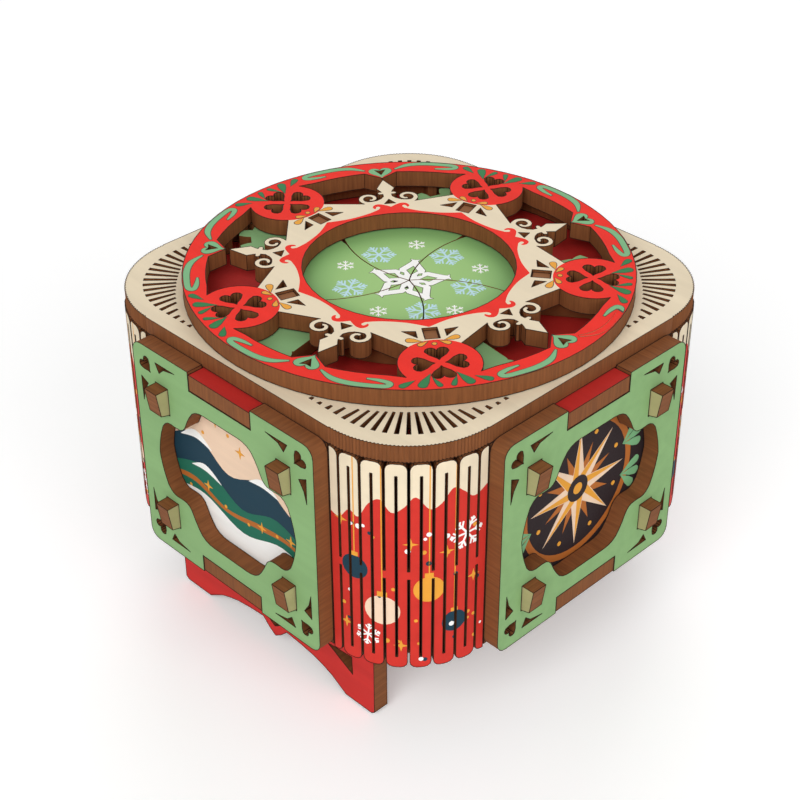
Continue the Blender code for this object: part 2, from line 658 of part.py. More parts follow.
def fan_slots():
    """Slots at one corner, on the +X, +Y diagonal: a fan of rays, then a few along each side."""
    centre = PLATE_HALF - CORNER_RADIUS
    step = math.pi / 2.0 / (FAN_RAYS - 1)
    lines = [((centre, centre), i * step) for i in range(FAN_RAYS)]
    for i in range(1, FAN_SIDE_SLOTS + 1):
        back = centre - i * step * FAN_OUTER_RADIUS
        lines += [((centre, back), 0.0), ((back, centre), math.pi / 2.0)]
    slots = []
    for start, turn in lines:
        along = start[0] * math.cos(turn) + start[1] * math.sin(turn)
        reach = math.sqrt(along ** 2 - start[0] ** 2 - start[1] ** 2 + FAN_INNER_REACH ** 2) - along
        inner = min(reach, FAN_OUTER_RADIUS - FAN_SHORTEST)
        box = [(inner, -FAN_INNER_WIDTH / 2.0), (FAN_OUTER_RADIUS, -FAN_OUTER_WIDTH / 2.0),
               (FAN_OUTER_RADIUS, FAN_OUTER_WIDTH / 2.0), (inner, FAN_INNER_WIDTH / 2.0)]
        slots.append([(start[0] + x, start[1] + y) for x, y in turned_points(box, turn)])
    return slots


def stepped_outline():
    """Deck and base: flat behind each panel, a tab through it, and round inside the corner walls."""
    flat = PLATE_HALF
    tab = FACE_FRONT - TAB_RECESS
    inner_radius = CORNER_RADIUS - PLY - SEAT_GAP
    shoulder = CORNER_CENTRE + inner_radius
    half = FACE_HALF_WIDTH - SEAT_GAP
    points = []
    for side in range(4):
        run = [(-half, -shoulder), (-half, -flat), (-TAB_HALF_WIDTH, -flat), (-TAB_HALF_WIDTH, -tab),
               (TAB_HALF_WIDTH, -tab), (TAB_HALF_WIDTH, -flat), (half, -flat), (half, -shoulder)]
        run += arc(inner_radius, -math.pi / 2.0, 0.0, CORNER_ARC_STEPS, (CORNER_CENTRE, -CORNER_CENTRE))
        points += turned_points(run, side * math.pi / 2.0)
    return points


def deck_slots():
    """Curved slots that let the posts travel with the ring."""
    half_depth = PLY / 2.0 + DECK_SLOT_GAP
    margin = math.asin((POST_WIDTH / 2.0 + DECK_SLOT_GAP) / (PIVOT_RADIUS - PLY / 2.0))
    slots = []
    for i in range(LOBES):
        start = i * LOBE_STEP + LOBE_TURN - margin
        end = start + RING_TURN + 2.0 * margin
        outer = arc(PIVOT_RADIUS + half_depth, start, end, DECK_SLOT_STEPS)
        inner = arc(PIVOT_RADIUS - half_depth, end, start, DECK_SLOT_STEPS)
        slots.append(outer + inner)
    return slots


def build_plates():
    fans = []
    for side in range(4):
        fans += [turned_points(slot, side * math.pi / 2.0) for slot in fan_slots()]
    sheet("top_plate", [plate_outline(), plate_hole(), *fans], PLY, "cream_print",
          (0.0, 0.0, PLATE_BOTTOM))
    deck = [stepped_outline(), circle(DECK_HOLE_RADIUS, DECK_HOLE_STEPS), *deck_slots()]
    sheet("deck_plate", deck, PLY, "red_print", (0.0, 0.0, DECK_BOTTOM))
    base = [stepped_outline(), circle(ARBOR_RADIUS + SMALL_GAP, ARBOR_STEPS, (-BARREL_PLACE, 0.0))]
    for sign_x in (-1.0, 1.0):
        for sign_y in (-1.0, 1.0):
            place = (sign_x * LEG_TENON_PLACE, sign_y * (LEG_PLACE + PLY / 2.0))
            base.append(rectangle(LEG_TENON_HALF + SLOT_GAP, PLY / 2.0 + SLOT_GAP, place))
    for place in bed_screw_places():
        base.append(circle(SCREW_RADIUS + SMALL_GAP, SCREW_STEPS, place))
    sheet("base_plate", base, PLY, "bare_ply", (0.0, 0.0, BASE_BOTTOM))


# Panels
FRAME_TOP = DECK_TOP + FRAME_RISE
FRAME_BOTTOM = BASE_BOTTOM - FRAME_DROP
FRAME_MIDDLE = (FRAME_TOP + FRAME_BOTTOM) / 2.0
FRAME_HALF_HEIGHT = (FRAME_TOP - FRAME_BOTTOM) / 2.0
PEG_HEIGHT = PEG_HEIGHT_SHARE * FRAME_HALF_HEIGHT
PEG_PLACE = PEG_PLACE_SHARE * FRAME_HALF_HEIGHT


def frame_outline():
    """Rounded panel outline with a notch for each tab, about the panel's middle."""
    notch = TAB_HALF_WIDTH + SLOT_GAP
    top_notch = DECK_BOTTOM - SEAT_GAP - FRAME_MIDDLE
    bottom_notch = BASE_TOP + SEAT_GAP - FRAME_MIDDLE
    x = FACE_HALF_WIDTH - FRAME_CORNER
    y = FRAME_HALF_HEIGHT - FRAME_CORNER
    quarter = math.pi / 2.0
    points = [(-notch, -FRAME_HALF_HEIGHT), (-notch, bottom_notch), (notch, bottom_notch),
              (notch, -FRAME_HALF_HEIGHT)]
    points += arc(FRAME_CORNER, -quarter, 0.0, FRAME_CORNER_STEPS, (x, -y))
    points += arc(FRAME_CORNER, 0.0, quarter, FRAME_CORNER_STEPS, (x, y))
    points += [(notch, FRAME_HALF_HEIGHT), (notch, top_notch), (-notch, top_notch),
               (-notch, FRAME_HALF_HEIGHT)]
    points += arc(FRAME_CORNER, quarter, 2.0 * quarter, FRAME_CORNER_STEPS, (-x, y))
    points += arc(FRAME_CORNER, 2.0 * quarter, 3.0 * quarter, FRAME_CORNER_STEPS, (-x, -y))
    return points


def window_outline():
    quarter = scaled(smooth(WINDOW_SHARES, WINDOW_STEPS), FACE_HALF_WIDTH, FRAME_HALF_HEIGHT)
    right = quarter + mirrored_y(quarter)[1:]
    left = [(-x, y) for x, y in reversed(right)]
    return right + left[1:-1]


def peg_holes():
    places = [(x * UPRIGHT_PLACE, y * PEG_PLACE) for x in (-1.0, 1.0) for y in (-1.0, 1.0)]
    return [rectangle(PLY / 2.0 + SLOT_GAP, PEG_HEIGHT / 2.0 + SLOT_GAP, place) for place in places]


def corner_cuts():
    """Heart and two curved triangles at each corner of a panel."""
    width = FRAME_HEART_WIDTH_SHARE * FACE_HALF_WIDTH
    loops = []
    for x_sign in (-1.0, 1.0):
        for y_sign in (-1.0, 1.0):
            place = (FRAME_HEART_SHARES[0] * FACE_HALF_WIDTH * x_sign,
                     FRAME_HEART_SHARES[1] * FRAME_HALF_HEIGHT * y_sign)
            turn = math.atan2(y_sign, x_sign)
            tip = polar(-width / 2.0, turn, place)
            loops.append(heart(tip, width, turn))
            for shares in (FRAME_TOP_CUT_SHARES, FRAME_SIDE_CUT_SHARES):
                loops.append(scaled(shares, x_sign * FACE_HALF_WIDTH, y_sign * FRAME_HALF_HEIGHT))
    return loops


def build_panels():
    frame_loops = [frame_outline(), window_outline(), *peg_holes(), *corner_cuts()]
    frame_mesh = sheet_mesh("panel_frame", frame_loops, PLY)
    picture_bottom = BASE_TOP + SEAT_GAP
    picture_top = DECK_BOTTOM - SEAT_GAP
    shift = (picture_top + picture_bottom) / 2.0 - FRAME_MIDDLE
    picture = rectangle(FACE_HALF_WIDTH - SEAT_GAP, (picture_top - picture_bottom) / 2.0, (0.0, shift))
    picture_mesh = sheet_mesh("picture_plate", [picture, *peg_holes()], PLY)
    for index, side in enumerate(SIDES):
        outward, sideways = side_directions(index)
        front = outward * FACE_BACK + Z_AXIS * FRAME_MIDDLE
        add_object(f"{side}_panel_frame", frame_mesh.copy(), axes_matrix(front, sideways, Z_AXIS),
                   "green_print")
        behind = outward * (FACE_BACK - SEAT_GAP - PLY) + Z_AXIS * FRAME_MIDDLE
        add_object(f"{side}_picture_plate", picture_mesh.copy(),
                   axes_matrix(behind, sideways, Z_AXIS), "picture_print")


def upright_outline():
    """Upright seen from its side: x is the distance from the box's axis, y the height."""
    bottom = BASE_TOP + SEAT_GAP
    top = DECK_BOTTOM - SEAT_GAP
    half = PEG_HEIGHT / 2.0
    points = [(UPRIGHT_INNER, top), (UPRIGHT_INNER, bottom), (UPRIGHT_BACK, bottom)]
    for sign in (-1.0, 1.0):
        middle = FRAME_MIDDLE + sign * PEG_PLACE
        points += [(UPRIGHT_BACK, middle - half), (FACE_FRONT, middle - half),
                   (FACE_FRONT + PEG_FOOT_REACH, middle - half + PEG_FOOT_RISE),
                   (FACE_FRONT + PEG_REACH, middle + half), (UPRIGHT_BACK, middle + half)]
    points.append((UPRIGHT_BACK, top))
    return points


def build_uprights():
    mesh = sheet_mesh("upright", [upright_outline()], PLY)
    for index, side in enumerate(SIDES):
        outward, sideways = side_directions(index)
        for hand, sign in (("a", -1.0), ("b", 1.0)):
            start = sideways * (sign * UPRIGHT_PLACE + PLY / 2.0)
            add_object(f"{side}_upright_{hand}", mesh.copy(), axes_matrix(start, outward, Z_AXIS),
                       "bare_ply")


# Corner walls
def wall_slot(low, high, half):
    return [(-half, low), (half, low), (half, high), (-half, high)]


def flared_slot(inner, end):
    """Slot that opens at one end of the wall and rounds the tongues beside it."""
    half = WALL_SLOT_WIDTH / 2.0
    sign = 1.0 if end > inner else -1.0
    points = [(half, inner)]
    for i in range(WALL_TIP_STEPS + 1):
        turn = math.pi / 2.0 * i / WALL_TIP_STEPS
        points.append((half + WALL_TIP_RADIUS * (1.0 - math.cos(turn)),
                       end - sign * WALL_TIP_RADIUS * (1.0 - math.sin(turn))))
    points.append((half + WALL_TIP_RADIUS, end + sign * CUT_OVERRUN))
    return points + [(-x, y) for x, y in reversed(points)]


def wall_cutter(bottom, top):
    """Every slot of one corner wall, radiating from the wall's own axis."""
    middle = (bottom + top) / 2.0 - WALL_BRIDGE_PLACE
    depth = PLY + 2.0 * CUT_OVERRUN
    inner = CORNER_RADIUS - PLY - CUT_OVERRUN
    tongue = flared_slot(middle + WALL_BRIDGE / 2.0, top)
    tail = flared_slot(middle - WALL_BRIDGE / 2.0, bottom)
    closed = wall_slot(bottom + WALL_END_BRIDGE, top - WALL_END_BRIDGE, WALL_SLOT_WIDTH / 2.0)
    meshes = []
    for i in range(1, 2 * WALL_TONGUES):
        turn = i * WALL_HALF_STEP
        for loop in ([tongue, tail] if i % 2 else [closed]):
            mesh = sheet_mesh("slot", [loop], depth)
            radial = Vector((math.cos(turn), math.sin(turn), 0.0))
            across = Z_AXIS.cross(radial)
            mesh.transform(axes_matrix(radial * inner, across, Z_AXIS))
            meshes.append(mesh)
    return join_meshes("wall_slots", meshes)


def build_corner_walls():
    bottom = FRAME_BOTTOM + WALL_RISE
    top = PLATE_BOTTOM - SEAT_GAP
    steps = 2 * WALL_TONGUES
    end_gap = math.asin(SEAT_GAP / CORNER_RADIUS) / 2.0
    outline = arc(CORNER_RADIUS, end_gap, math.pi / 2.0 - end_gap, steps)
    outline += arc(CORNER_RADIUS - PLY, math.pi / 2.0 - end_gap, end_gap, steps)
    wall = sheet("corner_wall", [outline], top - bottom, "wall_print", (0.0, 0.0, bottom))
    slots = add_object("wall_slots", wall_cutter(bottom, top), Matrix(), None, CUTTERS)
    boolean(wall, slots)
    names = ("front_right", "back_right", "back_left", "front_left")
    mesh = wall.data
    for index, name in enumerate(names):
        place = side_matrix(index) @ Matrix.Translation((CORNER_CENTRE, -CORNER_CENTRE, 0.0))
        place = place @ Matrix.Rotation(-math.pi / 2.0, 4, "Z") @ Matrix.Translation((0.0, 0.0, bottom))
        add_object(f"{name}_corner_wall", mesh.copy(), place, "wall_print")
    bpy.data.objects.remove(wall, do_unlink=True)


# Leg boards
def leg_loops():
    """Leg board seen from its side, about the middle of the box, height from the floor."""
    top = LEG_HEIGHT - SEAT_GAP
    tenon = BASE_TOP - LEG_TENON_SHORT
    right = [(LEG_TENON_PLACE - LEG_TENON_HALF, top), (LEG_TENON_PLACE - LEG_TENON_HALF, tenon),
             (LEG_TENON_PLACE + LEG_TENON_HALF, tenon), (LEG_TENON_PLACE + LEG_TENON_HALF, top),
             (LEG_HALF_LENGTH, top)]
    right += scaled(LEG_FOOT_SHARES, LEG_HALF_LENGTH, LEG_HEIGHT)
    left = [(-x, y) for x, y in reversed(right[:-1])]
    side_hole = scaled(LEG_SIDE_HOLE_SHARES, LEG_HALF_LENGTH, LEG_HEIGHT)
    return [right + left, scaled(LEG_CUSP_HOLE_SHARES, LEG_HALF_LENGTH, LEG_HEIGHT), side_hole,
            [(-x, y) for x, y in reversed(side_hole)]]


def build_legs():
    for name, start in (("front_leg_board", -LEG_PLACE), ("back_leg_board", LEG_PLACE + PLY)):
        sheet(name, leg_loops(), PLY, "red_print", (0.0, start, 0.0), X_AXIS, Z_AXIS)


# Movement
BED_BOTTOM = BASE_TOP + SEAT_GAP
BED_TOP = BED_BOTTOM + BED_THICKNESS
BARREL_BOTTOM = BED_TOP + SMALL_GAP
BARREL_TOP = BARREL_BOTTOM + BARREL_HEIGHT
CROWN_BOTTOM = BARREL_TOP + SEAT_GAP
CROWN_TOP = CROWN_BOTTOM + CROWN_THICKNESS + CROWN_TOOTH_HEIGHT
PINION_PITCH = CROWN_RADIUS * PINION_TEETH / CROWN_TEETH
PINION_TIP = PINION_PITCH + CROWN_ENGAGEMENT / 2.0
CYLINDER_HEIGHT = CROWN_TOP - CROWN_ENGAGEMENT + PINION_TIP
PINION_PLACE = CROWN_RADIUS - BARREL_PLACE
LEFT_BRACKET = PINION_PLACE + PINION_THICKNESS / 2.0 + SMALL_GAP
CYLINDER_START = LEFT_BRACKET + BRACKET_THICKNESS + SMALL_GAP
RIGHT_BRACKET = CYLINDER_START + CYLINDER_LENGTH + SMALL_GAP
WHEEL_START = RIGHT_BRACKET + BRACKET_THICKNESS + SMALL_GAP
SHAFT_START = PINION_PLACE - PINION_THICKNESS / 2.0 - SMALL_GAP
SHAFT_END = WHEEL_START + BRACKET_THICKNESS + SMALL_GAP
SPINDLE_PLACE = GOVERNOR_WHEEL_RADIUS + SPINDLE_RADIUS + SMALL_GAP


def bed_screw_places():
    x_places = (-BED_LEFT + BED_SCREW_INSET, BED_RIGHT - BED_SCREW_INSET)
    y_place = BED_HALF_DEPTH - BED_SCREW_INSET
    return [(x, y) for x in x_places for y in (-y_place, y_place)]


def along_x(start):
    """Matrix that lays a turned or flat piece's Z axis along +X on the cylinder's axis."""
    return axes_matrix((start, 0.0, CYLINDER_HEIGHT), Y_AXIS, Z_AXIS)


def build_screw(name, place, underside, up):
    """Screw whose head's underside is at the given height; up is +1 for a head on top."""
    matrix = Matrix.Translation((place[0], place[1], underside))
    if up < 0.0:
        matrix = matrix @ Matrix.Rotation(math.pi, 4, "X")
    profile = [(0.0, SCREW_HEAD_HEIGHT), (SCREW_HEAD_RADIUS, SCREW_HEAD_HEIGHT),
               (SCREW_HEAD_RADIUS, 0.0), (SCREW_RADIUS, 0.0), (SCREW_RADIUS, -SCREW_SHANK),
               (0.0, -SCREW_SHANK)]
    turned(name, profile, SCREW_STEPS, "steel", matrix)


def build_bed():
    outline = [(-BED_LEFT, -BED_HALF_DEPTH), (BED_RIGHT, -BED_HALF_DEPTH),
               (BED_RIGHT, BED_HALF_DEPTH), (-BED_LEFT, BED_HALF_DEPTH)]
    loops = [outline, circle(ARBOR_RADIUS + SMALL_GAP, ARBOR_STEPS, (-BARREL_PLACE, 0.0))]
    loops += [circle(SCREW_RADIUS + SMALL_GAP, SCREW_STEPS, place) for place in bed_screw_places()]
    sheet("movement_bedplate", loops, BED_THICKNESS, "cast_bed", (0.0, 0.0, BED_BOTTOM))
    for i, place in enumerate(bed_screw_places()):
        build_screw(f"mounting_screw_{i + 1}", place, BASE_BOTTOM - SEAT_GAP, -1.0)


def build_barrel():
    centre = Matrix.Translation((-BARREL_PLACE, 0.0, 0.0))
    bore = ARBOR_RADIUS + SMALL_GAP
    inner = BARREL_RADIUS - BARREL_WALL
    profile = [(bore, BARREL_TOP), (BARREL_RADIUS, BARREL_TOP), (BARREL_RADIUS, BARREL_BOTTOM),
               (inner, BARREL_BOTTOM), (inner, BARREL_TOP - BARREL_WALL), (bore, BARREL_TOP - BARREL_WALL)]
    turned("spring_barrel", profile, BARREL_STEPS, "brass", centre)
    outer = CROWN_RADIUS + CROWN_BAND / 2.0
    ring = [(CROWN_RADIUS - CROWN_BAND / 2.0, CROWN_THICKNESS), (outer, CROWN_THICKNESS), (outer, 0.0),
            (CROWN_RADIUS - CROWN_BAND / 2.0, 0.0)]
    crown = turned("barrel_crown_gear", ring, BARREL_STEPS, "brass",
                   centre @ Matrix.Translation((0.0, 0.0, CROWN_BOTTOM)))
    step = 2.0 * math.pi / CROWN_TEETH
    half = GEAR_TOOTH_FILL * step * CROWN_RADIUS / 2.0
    meshes = []
    for i in range(CROWN_TEETH):
        box = rectangle(CROWN_BAND / 2.0 - CROWN_SINK, half, (CROWN_RADIUS, 0.0))
        mesh = sheet_mesh("crown_tooth", [box], CROWN_TOOTH_HEIGHT + CROWN_SINK)
        lift = CROWN_BOTTOM + CROWN_THICKNESS - CROWN_SINK
        turn = Matrix.Rotation((i + 0.5) * step, 4, "Z")
        mesh.transform(centre @ turn @ Matrix.Translation((0.0, 0.0, lift)))
        meshes.append(mesh)
    teeth = add_object("crown_teeth", join_meshes("crown_teeth", meshes), Matrix(), None, CUTTERS)
    boolean(crown, teeth, "UNION")
    build_mainspring(centre)


def build_mainspring(centre):
    """Flat spiral ribbon inside the barrel."""
    steps = SPRING_TURNS * SPRING_TURN_STEPS
    half = SPRING_THICKNESS / 2.0
    outer = []
    inner = []
    for i in range(steps + 1):
        turn = 2.0 * math.pi * i / SPRING_TURN_STEPS
        radius = SPRING_INNER + (SPRING_OUTER - SPRING_INNER) * i / steps
        outer.append(polar(radius + half, turn))
        inner.append(polar(radius - half, turn))
    height = BARREL_HEIGHT - BARREL_WALL - 2.0 * SMALL_GAP
    mesh = sheet_mesh("mainspring", [outer + inner[::-1]], height)
    add_object("mainspring", mesh, centre @ Matrix.Translation((0.0, 0.0, BARREL_BOTTOM + SMALL_GAP)),
               "steel")


def straight_gear(teeth, root, tip, fill):
    """Gear outline with straight-sided teeth; the first tooth points along -Y."""
    step = 2.0 * math.pi / teeth
    points = []
    for i in range(teeth):
        turn = i * step - math.pi / 2.0
        foot = fill * step / 2.0 * tip / root
        head = fill * step / 2.0
        points += [polar(root, turn - foot), polar(tip, turn - head), polar(tip, turn + head),
                   polar(root, turn + foot)]
    return points


def build_cylinder():
    shaft = [(0.0, SHAFT_END - SHAFT_START), (SHAFT_RADIUS, SHAFT_END - SHAFT_START),
             (SHAFT_RADIUS, 0.0), (0.0, 0.0)]
    turned("cylinder_shaft", shaft, ARBOR_STEPS, "steel", along_x(SHAFT_START))
    bore = circle(SHAFT_RADIUS + SEAT_GAP, ARBOR_STEPS)
    pinion = straight_gear(PINION_TEETH, PINION_TIP * PINION_ROOT_SHARE, PINION_TIP, GEAR_TOOTH_FILL)
    item = sheet("drive_pinion", [pinion, bore], PINION_THICKNESS, "brass")
    item.matrix_world = along_x(PINION_PLACE - PINION_THICKNESS / 2.0)
    wheel = straight_gear(GOVERNOR_TEETH, GOVERNOR_WHEEL_RADIUS * GOVERNOR_TOOTH_SHARE,
                          GOVERNOR_WHEEL_RADIUS, GEAR_TOOTH_FILL)
    item = sheet("governor_wheel", [wheel, bore], BRACKET_THICKNESS, "brass")
    item.matrix_world = along_x(WHEEL_START)
    inner = SHAFT_RADIUS + SEAT_GAP
    drum = [(inner, CYLINDER_LENGTH), (CYLINDER_RADIUS, CYLINDER_LENGTH), (CYLINDER_RADIUS, 0.0),
            (inner, 0.0)]
    item = turned("pinned_cylinder", drum, CYLINDER_STEPS, "brass", along_x(CYLINDER_START))
    meshes = []
    pitch = CYLINDER_LENGTH / (PIN_COUNT + 1)
    for i in range(PIN_COUNT):
        mesh = sheet_mesh("pin", [rectangle(PIN_SIZE / 2.0, PIN_SIZE / 2.0)], 2.0 * PIN_HEIGHT)
        place = Matrix.Rotation(i * PIN_TURN, 4, "Z") @ Matrix.Translation((0.0, 0.0, (i + 1) * pitch))
        place = place @ Matrix.Rotation(math.pi / 2.0, 4, "Y")
        place = place @ Matrix.Translation((0.0, 0.0, CYLINDER_RADIUS - PIN_HEIGHT))
        mesh.transform(along_x(CYLINDER_START) @ place)
        meshes.append(mesh)
    pins = add_object("pins", join_meshes("pins", meshes), Matrix(), None, CUTTERS)
    boolean(item, pins, "UNION")


def bracket_outline():
    """Bearing bracket: foot on the bedplate, round head about the cylinder's axis."""
    foot = BED_TOP + SEAT_GAP - CYLINDER_HEIGHT
    points = [(-BRACKET_HALF_WIDTH, foot), (BRACKET_HALF_WIDTH, foot)]
    points += arc(BRACKET_HALF_WIDTH, 0.0, math.pi, SCREW_STEPS)
    return points


def build_brackets():
    loops = [bracket_outline(), circle(SHAFT_RADIUS + SMALL_GAP, ARBOR_STEPS)]
    for name, start in (("left_bearing_bracket", LEFT_BRACKET), ("right_bearing_bracket", RIGHT_BRACKET)):
        item = sheet(name, loops, BRACKET_THICKNESS, "brass")
        item.matrix_world = along_x(start)


def build_governor():
    middle = WHEEL_START + BRACKET_THICKNESS / 2.0
    arm = SPINDLE_RADIUS + SMALL_GAP
    bottom = CYLINDER_HEIGHT - SPINDLE_DROP
    thick = BED_THICKNESS
    top = RETAINER_BOTTOM - GOVERNOR_HEADROOM - thick
    back = SPINDLE_PLACE + FAN_HALF_WIDTH + 2.0 * SMALL_GAP
    outline = [(SPINDLE_PLACE - arm, bottom - SEAT_GAP), (SPINDLE_PLACE - arm, BED_TOP + SEAT_GAP),
               (back + thick, BED_TOP + SEAT_GAP), (back + thick, top + thick),
               (SPINDLE_PLACE - arm, top + thick), (SPINDLE_PLACE - arm, top + SEAT_GAP),
               (back, top + SEAT_GAP), (back, bottom - SEAT_GAP)]
    sheet("governor_bracket", [outline], 2.0 * arm, "brass", (middle - arm, 0.0, 0.0), Y_AXIS, Z_AXIS)
    spindle = [(0.0, top - bottom), (SPINDLE_RADIUS, top - bottom), (SPINDLE_RADIUS, 0.0), (0.0, 0.0)]
    place = Matrix.Translation((middle, SPINDLE_PLACE, bottom))
    governor = turned("air_governor", spindle, ARBOR_STEPS, "steel", place)
    wings = rectangle(FAN_HALF_WIDTH, FAN_THICKNESS / 2.0)
    foot = CYLINDER_HEIGHT + FAN_RISE
    fan = sheet("governor_wings", [wings], top - FAN_DROP - foot, None,
                (middle, SPINDLE_PLACE, foot), collection=CUTTERS)
    boolean(governor, fan, "UNION")


def comb_outline():
    """Comb seen from above: teeth reach towards the cylinder, along -Y from zero."""
    pitch = CYLINDER_LENGTH / COMB_TEETH
    slot = pitch * COMB_SLOT_SHARE / 2.0
    points = [(CYLINDER_LENGTH, COMB_TOOTH_LENGTH + COMB_BACK_DEPTH),
              (0.0, COMB_TOOTH_LENGTH + COMB_BACK_DEPTH), (0.0, 0.0)]
    for i in range(1, COMB_TEETH):
        x = i * pitch
        points += [(x - slot, 0.0), (x - slot, COMB_TOOTH_LENGTH), (x + slot, COMB_TOOTH_LENGTH),
                   (x + slot, 0.0)]
    points.append((CYLINDER_LENGTH, 0.0))
    return points


def build_comb():
    tips = CYLINDER_RADIUS + PIN_HEIGHT + COMB_CLEARANCE
    screws = [(x, COMB_TOOTH_LENGTH + COMB_BACK_DEPTH / 2.0)
              for x in (SCREW_INSET, CYLINDER_LENGTH - SCREW_INSET)]
    holes = [circle(SCREW_RADIUS + SMALL_GAP, SCREW_STEPS, place) for place in screws]
    bottom = CYLINDER_HEIGHT - COMB_THICKNESS / 2.0
    sheet("steel_comb", [comb_outline(), *holes], COMB_THICKNESS, "steel",
          (CYLINDER_START, tips, bottom))
    block = [(0.0, COMB_TOOTH_LENGTH), (CYLINDER_LENGTH, COMB_TOOTH_LENGTH),
             (CYLINDER_LENGTH, COMB_TOOTH_LENGTH + COMB_BACK_DEPTH),
             (0.0, COMB_TOOTH_LENGTH + COMB_BACK_DEPTH)]
    start = BED_TOP + SEAT_GAP
    sheet("comb_block", [block, *holes], bottom - SEAT_GAP - start, "cast_bed",
          (CYLINDER_START, tips, start))
    for i, (x, y) in enumerate(screws):
        build_screw(f"comb_screw_{i + 1}", (CYLINDER_START + x, tips + y),
                    CYLINDER_HEIGHT + COMB_THICKNESS / 2.0 + SEAT_GAP, 1.0)


def build_key():
    """Winding arbor through the base, and the key whose collar takes its lower end."""
    centre = Matrix.Translation((-BARREL_PLACE, 0.0, 0.0))
    collar_bottom = KEY_TOP - KEY_COLLAR
    floor = collar_bottom + KEY_FLOOR
    foot = floor + SEAT_GAP
    top = BARREL_BOTTOM + BARREL_HEIGHT / 2.0
    arbor = [(0.0, top), (ARBOR_RADIUS, top), (ARBOR_RADIUS, foot), (0.0, foot)]
    turned("winding_arbor", arbor, ARBOR_STEPS, "steel", centre)
    bore = ARBOR_RADIUS + SEAT_GAP
    collar = [(0.0, floor), (bore, floor), (bore, KEY_TOP), (KEY_HUB_RADIUS, KEY_TOP),
              (KEY_HUB_RADIUS, collar_bottom), (0.0, collar_bottom)]
    key = turned("winding_key", collar, 2 * ARBOR_STEPS, "brass", centre)
    wing_top = floor - KEY_FLOOR / 2.0
    height = (wing_top - KEY_BOTTOM) / 2.0
    middle = KEY_BOTTOM + height
    waist = height * KEY_WAIST_SHARE
    right = [(ARBOR_RADIUS, wing_top), (ARBOR_RADIUS + waist, middle + waist)]
    wing_centre = (KEY_SPAN_HALF - height, middle)
    right += arc(height, KEY_WING_TURN, -KEY_WING_TURN, 2 * KEY_WING_STEPS, wing_centre)
    right += [(ARBOR_RADIUS + waist, middle - waist)]
    left = [(-x, y) for x, y in reversed(right)]
    wings = sheet("key_wings", [right + left], KEY_THICKNESS, None,
                  (-BARREL_PLACE, KEY_THICKNESS / 2.0, 0.0), X_AXIS, Z_AXIS, CUTTERS)
    boolean(key, wings, "UNION")


def build_movement():
    build_bed()
    build_barrel()
    build_cylinder()
    build_brackets()
    build_governor()
    build_comb()
    build_key()


def shade_pieces():
    """Round faces shaded smooth, with every real edge kept sharp."""
    graph = bpy.context.evaluated_depsgraph_get()
    for item in BOX.objects:
        if item.type != "MESH":
            continue
        mesh = bpy.data.meshes.new_from_object(item.evaluated_get(graph))
        item.modifiers.clear()
        item.data = mesh
        mesh.shade_smooth()
        mesh.set_sharp_from_angle(angle=SHARP_ANGLE)


build_plates()
build_ring()
build_leaves()
build_panels()
build_uprights()
build_corner_walls()
build_legs()
build_movement()
shade_pieces()
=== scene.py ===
"""Looks of the wooden music box: printed plywood faces, scorched cut edges and a brass movement.

Prints are thin films of ink, cut to the outline of the sheet that they lie on, so they keep to
its openings and move with it. Lengths in the drawings are in millimetres.
"""
import json
import math
import random

import bmesh
import bpy
from mathutils import Matrix, Vector


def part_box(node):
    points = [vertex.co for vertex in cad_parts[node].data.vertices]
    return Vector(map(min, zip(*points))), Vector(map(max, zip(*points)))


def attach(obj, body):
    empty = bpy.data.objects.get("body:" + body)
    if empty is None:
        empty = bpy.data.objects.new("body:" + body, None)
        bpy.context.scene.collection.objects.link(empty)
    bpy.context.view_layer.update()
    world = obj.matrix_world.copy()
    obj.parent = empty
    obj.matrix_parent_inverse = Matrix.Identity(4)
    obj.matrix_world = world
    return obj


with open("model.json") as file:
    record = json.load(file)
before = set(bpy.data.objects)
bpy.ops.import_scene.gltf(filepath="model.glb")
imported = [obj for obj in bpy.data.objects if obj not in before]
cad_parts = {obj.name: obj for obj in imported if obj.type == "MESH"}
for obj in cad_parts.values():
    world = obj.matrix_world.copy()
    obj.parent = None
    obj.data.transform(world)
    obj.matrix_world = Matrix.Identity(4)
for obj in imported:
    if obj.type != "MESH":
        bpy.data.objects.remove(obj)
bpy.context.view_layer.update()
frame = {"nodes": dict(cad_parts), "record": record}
NODES = frame["nodes"]
BODY_OF = {node: body for body, nodes in frame["record"]["behaviour"]["bodies"].items() for node in nodes}
SLOT_OF = {item["node"]: item["material_slot"] for item in frame["record"]["subparts"]}
METAL_SLOTS = ("brass", "steel", "cast_bed")

MM = 0.001
X_AXIS = Vector((1.0, 0.0, 0.0))
Y_AXIS = Vector((0.0, 1.0, 0.0))
Z_AXIS = Vector((0.0, 0.0, 1.0))
SIDES = ("front", "right", "back", "left")
WALLS = ("front_right", "back_right", "back_left", "front_left")

# Ink films
INK_STEP = 0.01
HAIR = 0.12
CLIP_SHIFT = 1.0
WELD = 0.0005

# Ring drawing
RING_RADIUS = 38.0
LOBES = 5
LOBE_STEP = 2.0 * math.pi / LOBES
LOBE_TURN = LOBE_STEP / 2.0
LOBE_CENTRE = 0.811
LOBE_INK_RADIUS = 0.174

# Corner walls
WALL_CENTRE = 22.1
WALL_RADIUS = 17.0
WALL_FACETS = 14
WALL_SPREAD = 0.5

# Cut edges
LINE_RADIUS = 0.07
LINE_ANGLE = math.radians(28.0)


def linear(hex_colour):
    values = [int(hex_colour[i:i + 2], 16) / 255.0 for i in (1, 3, 5)]
    return tuple(v / 12.92 if v <= 0.04045 else ((v + 0.055) / 1.055) ** 2.4 for v in values) + (1.0,)


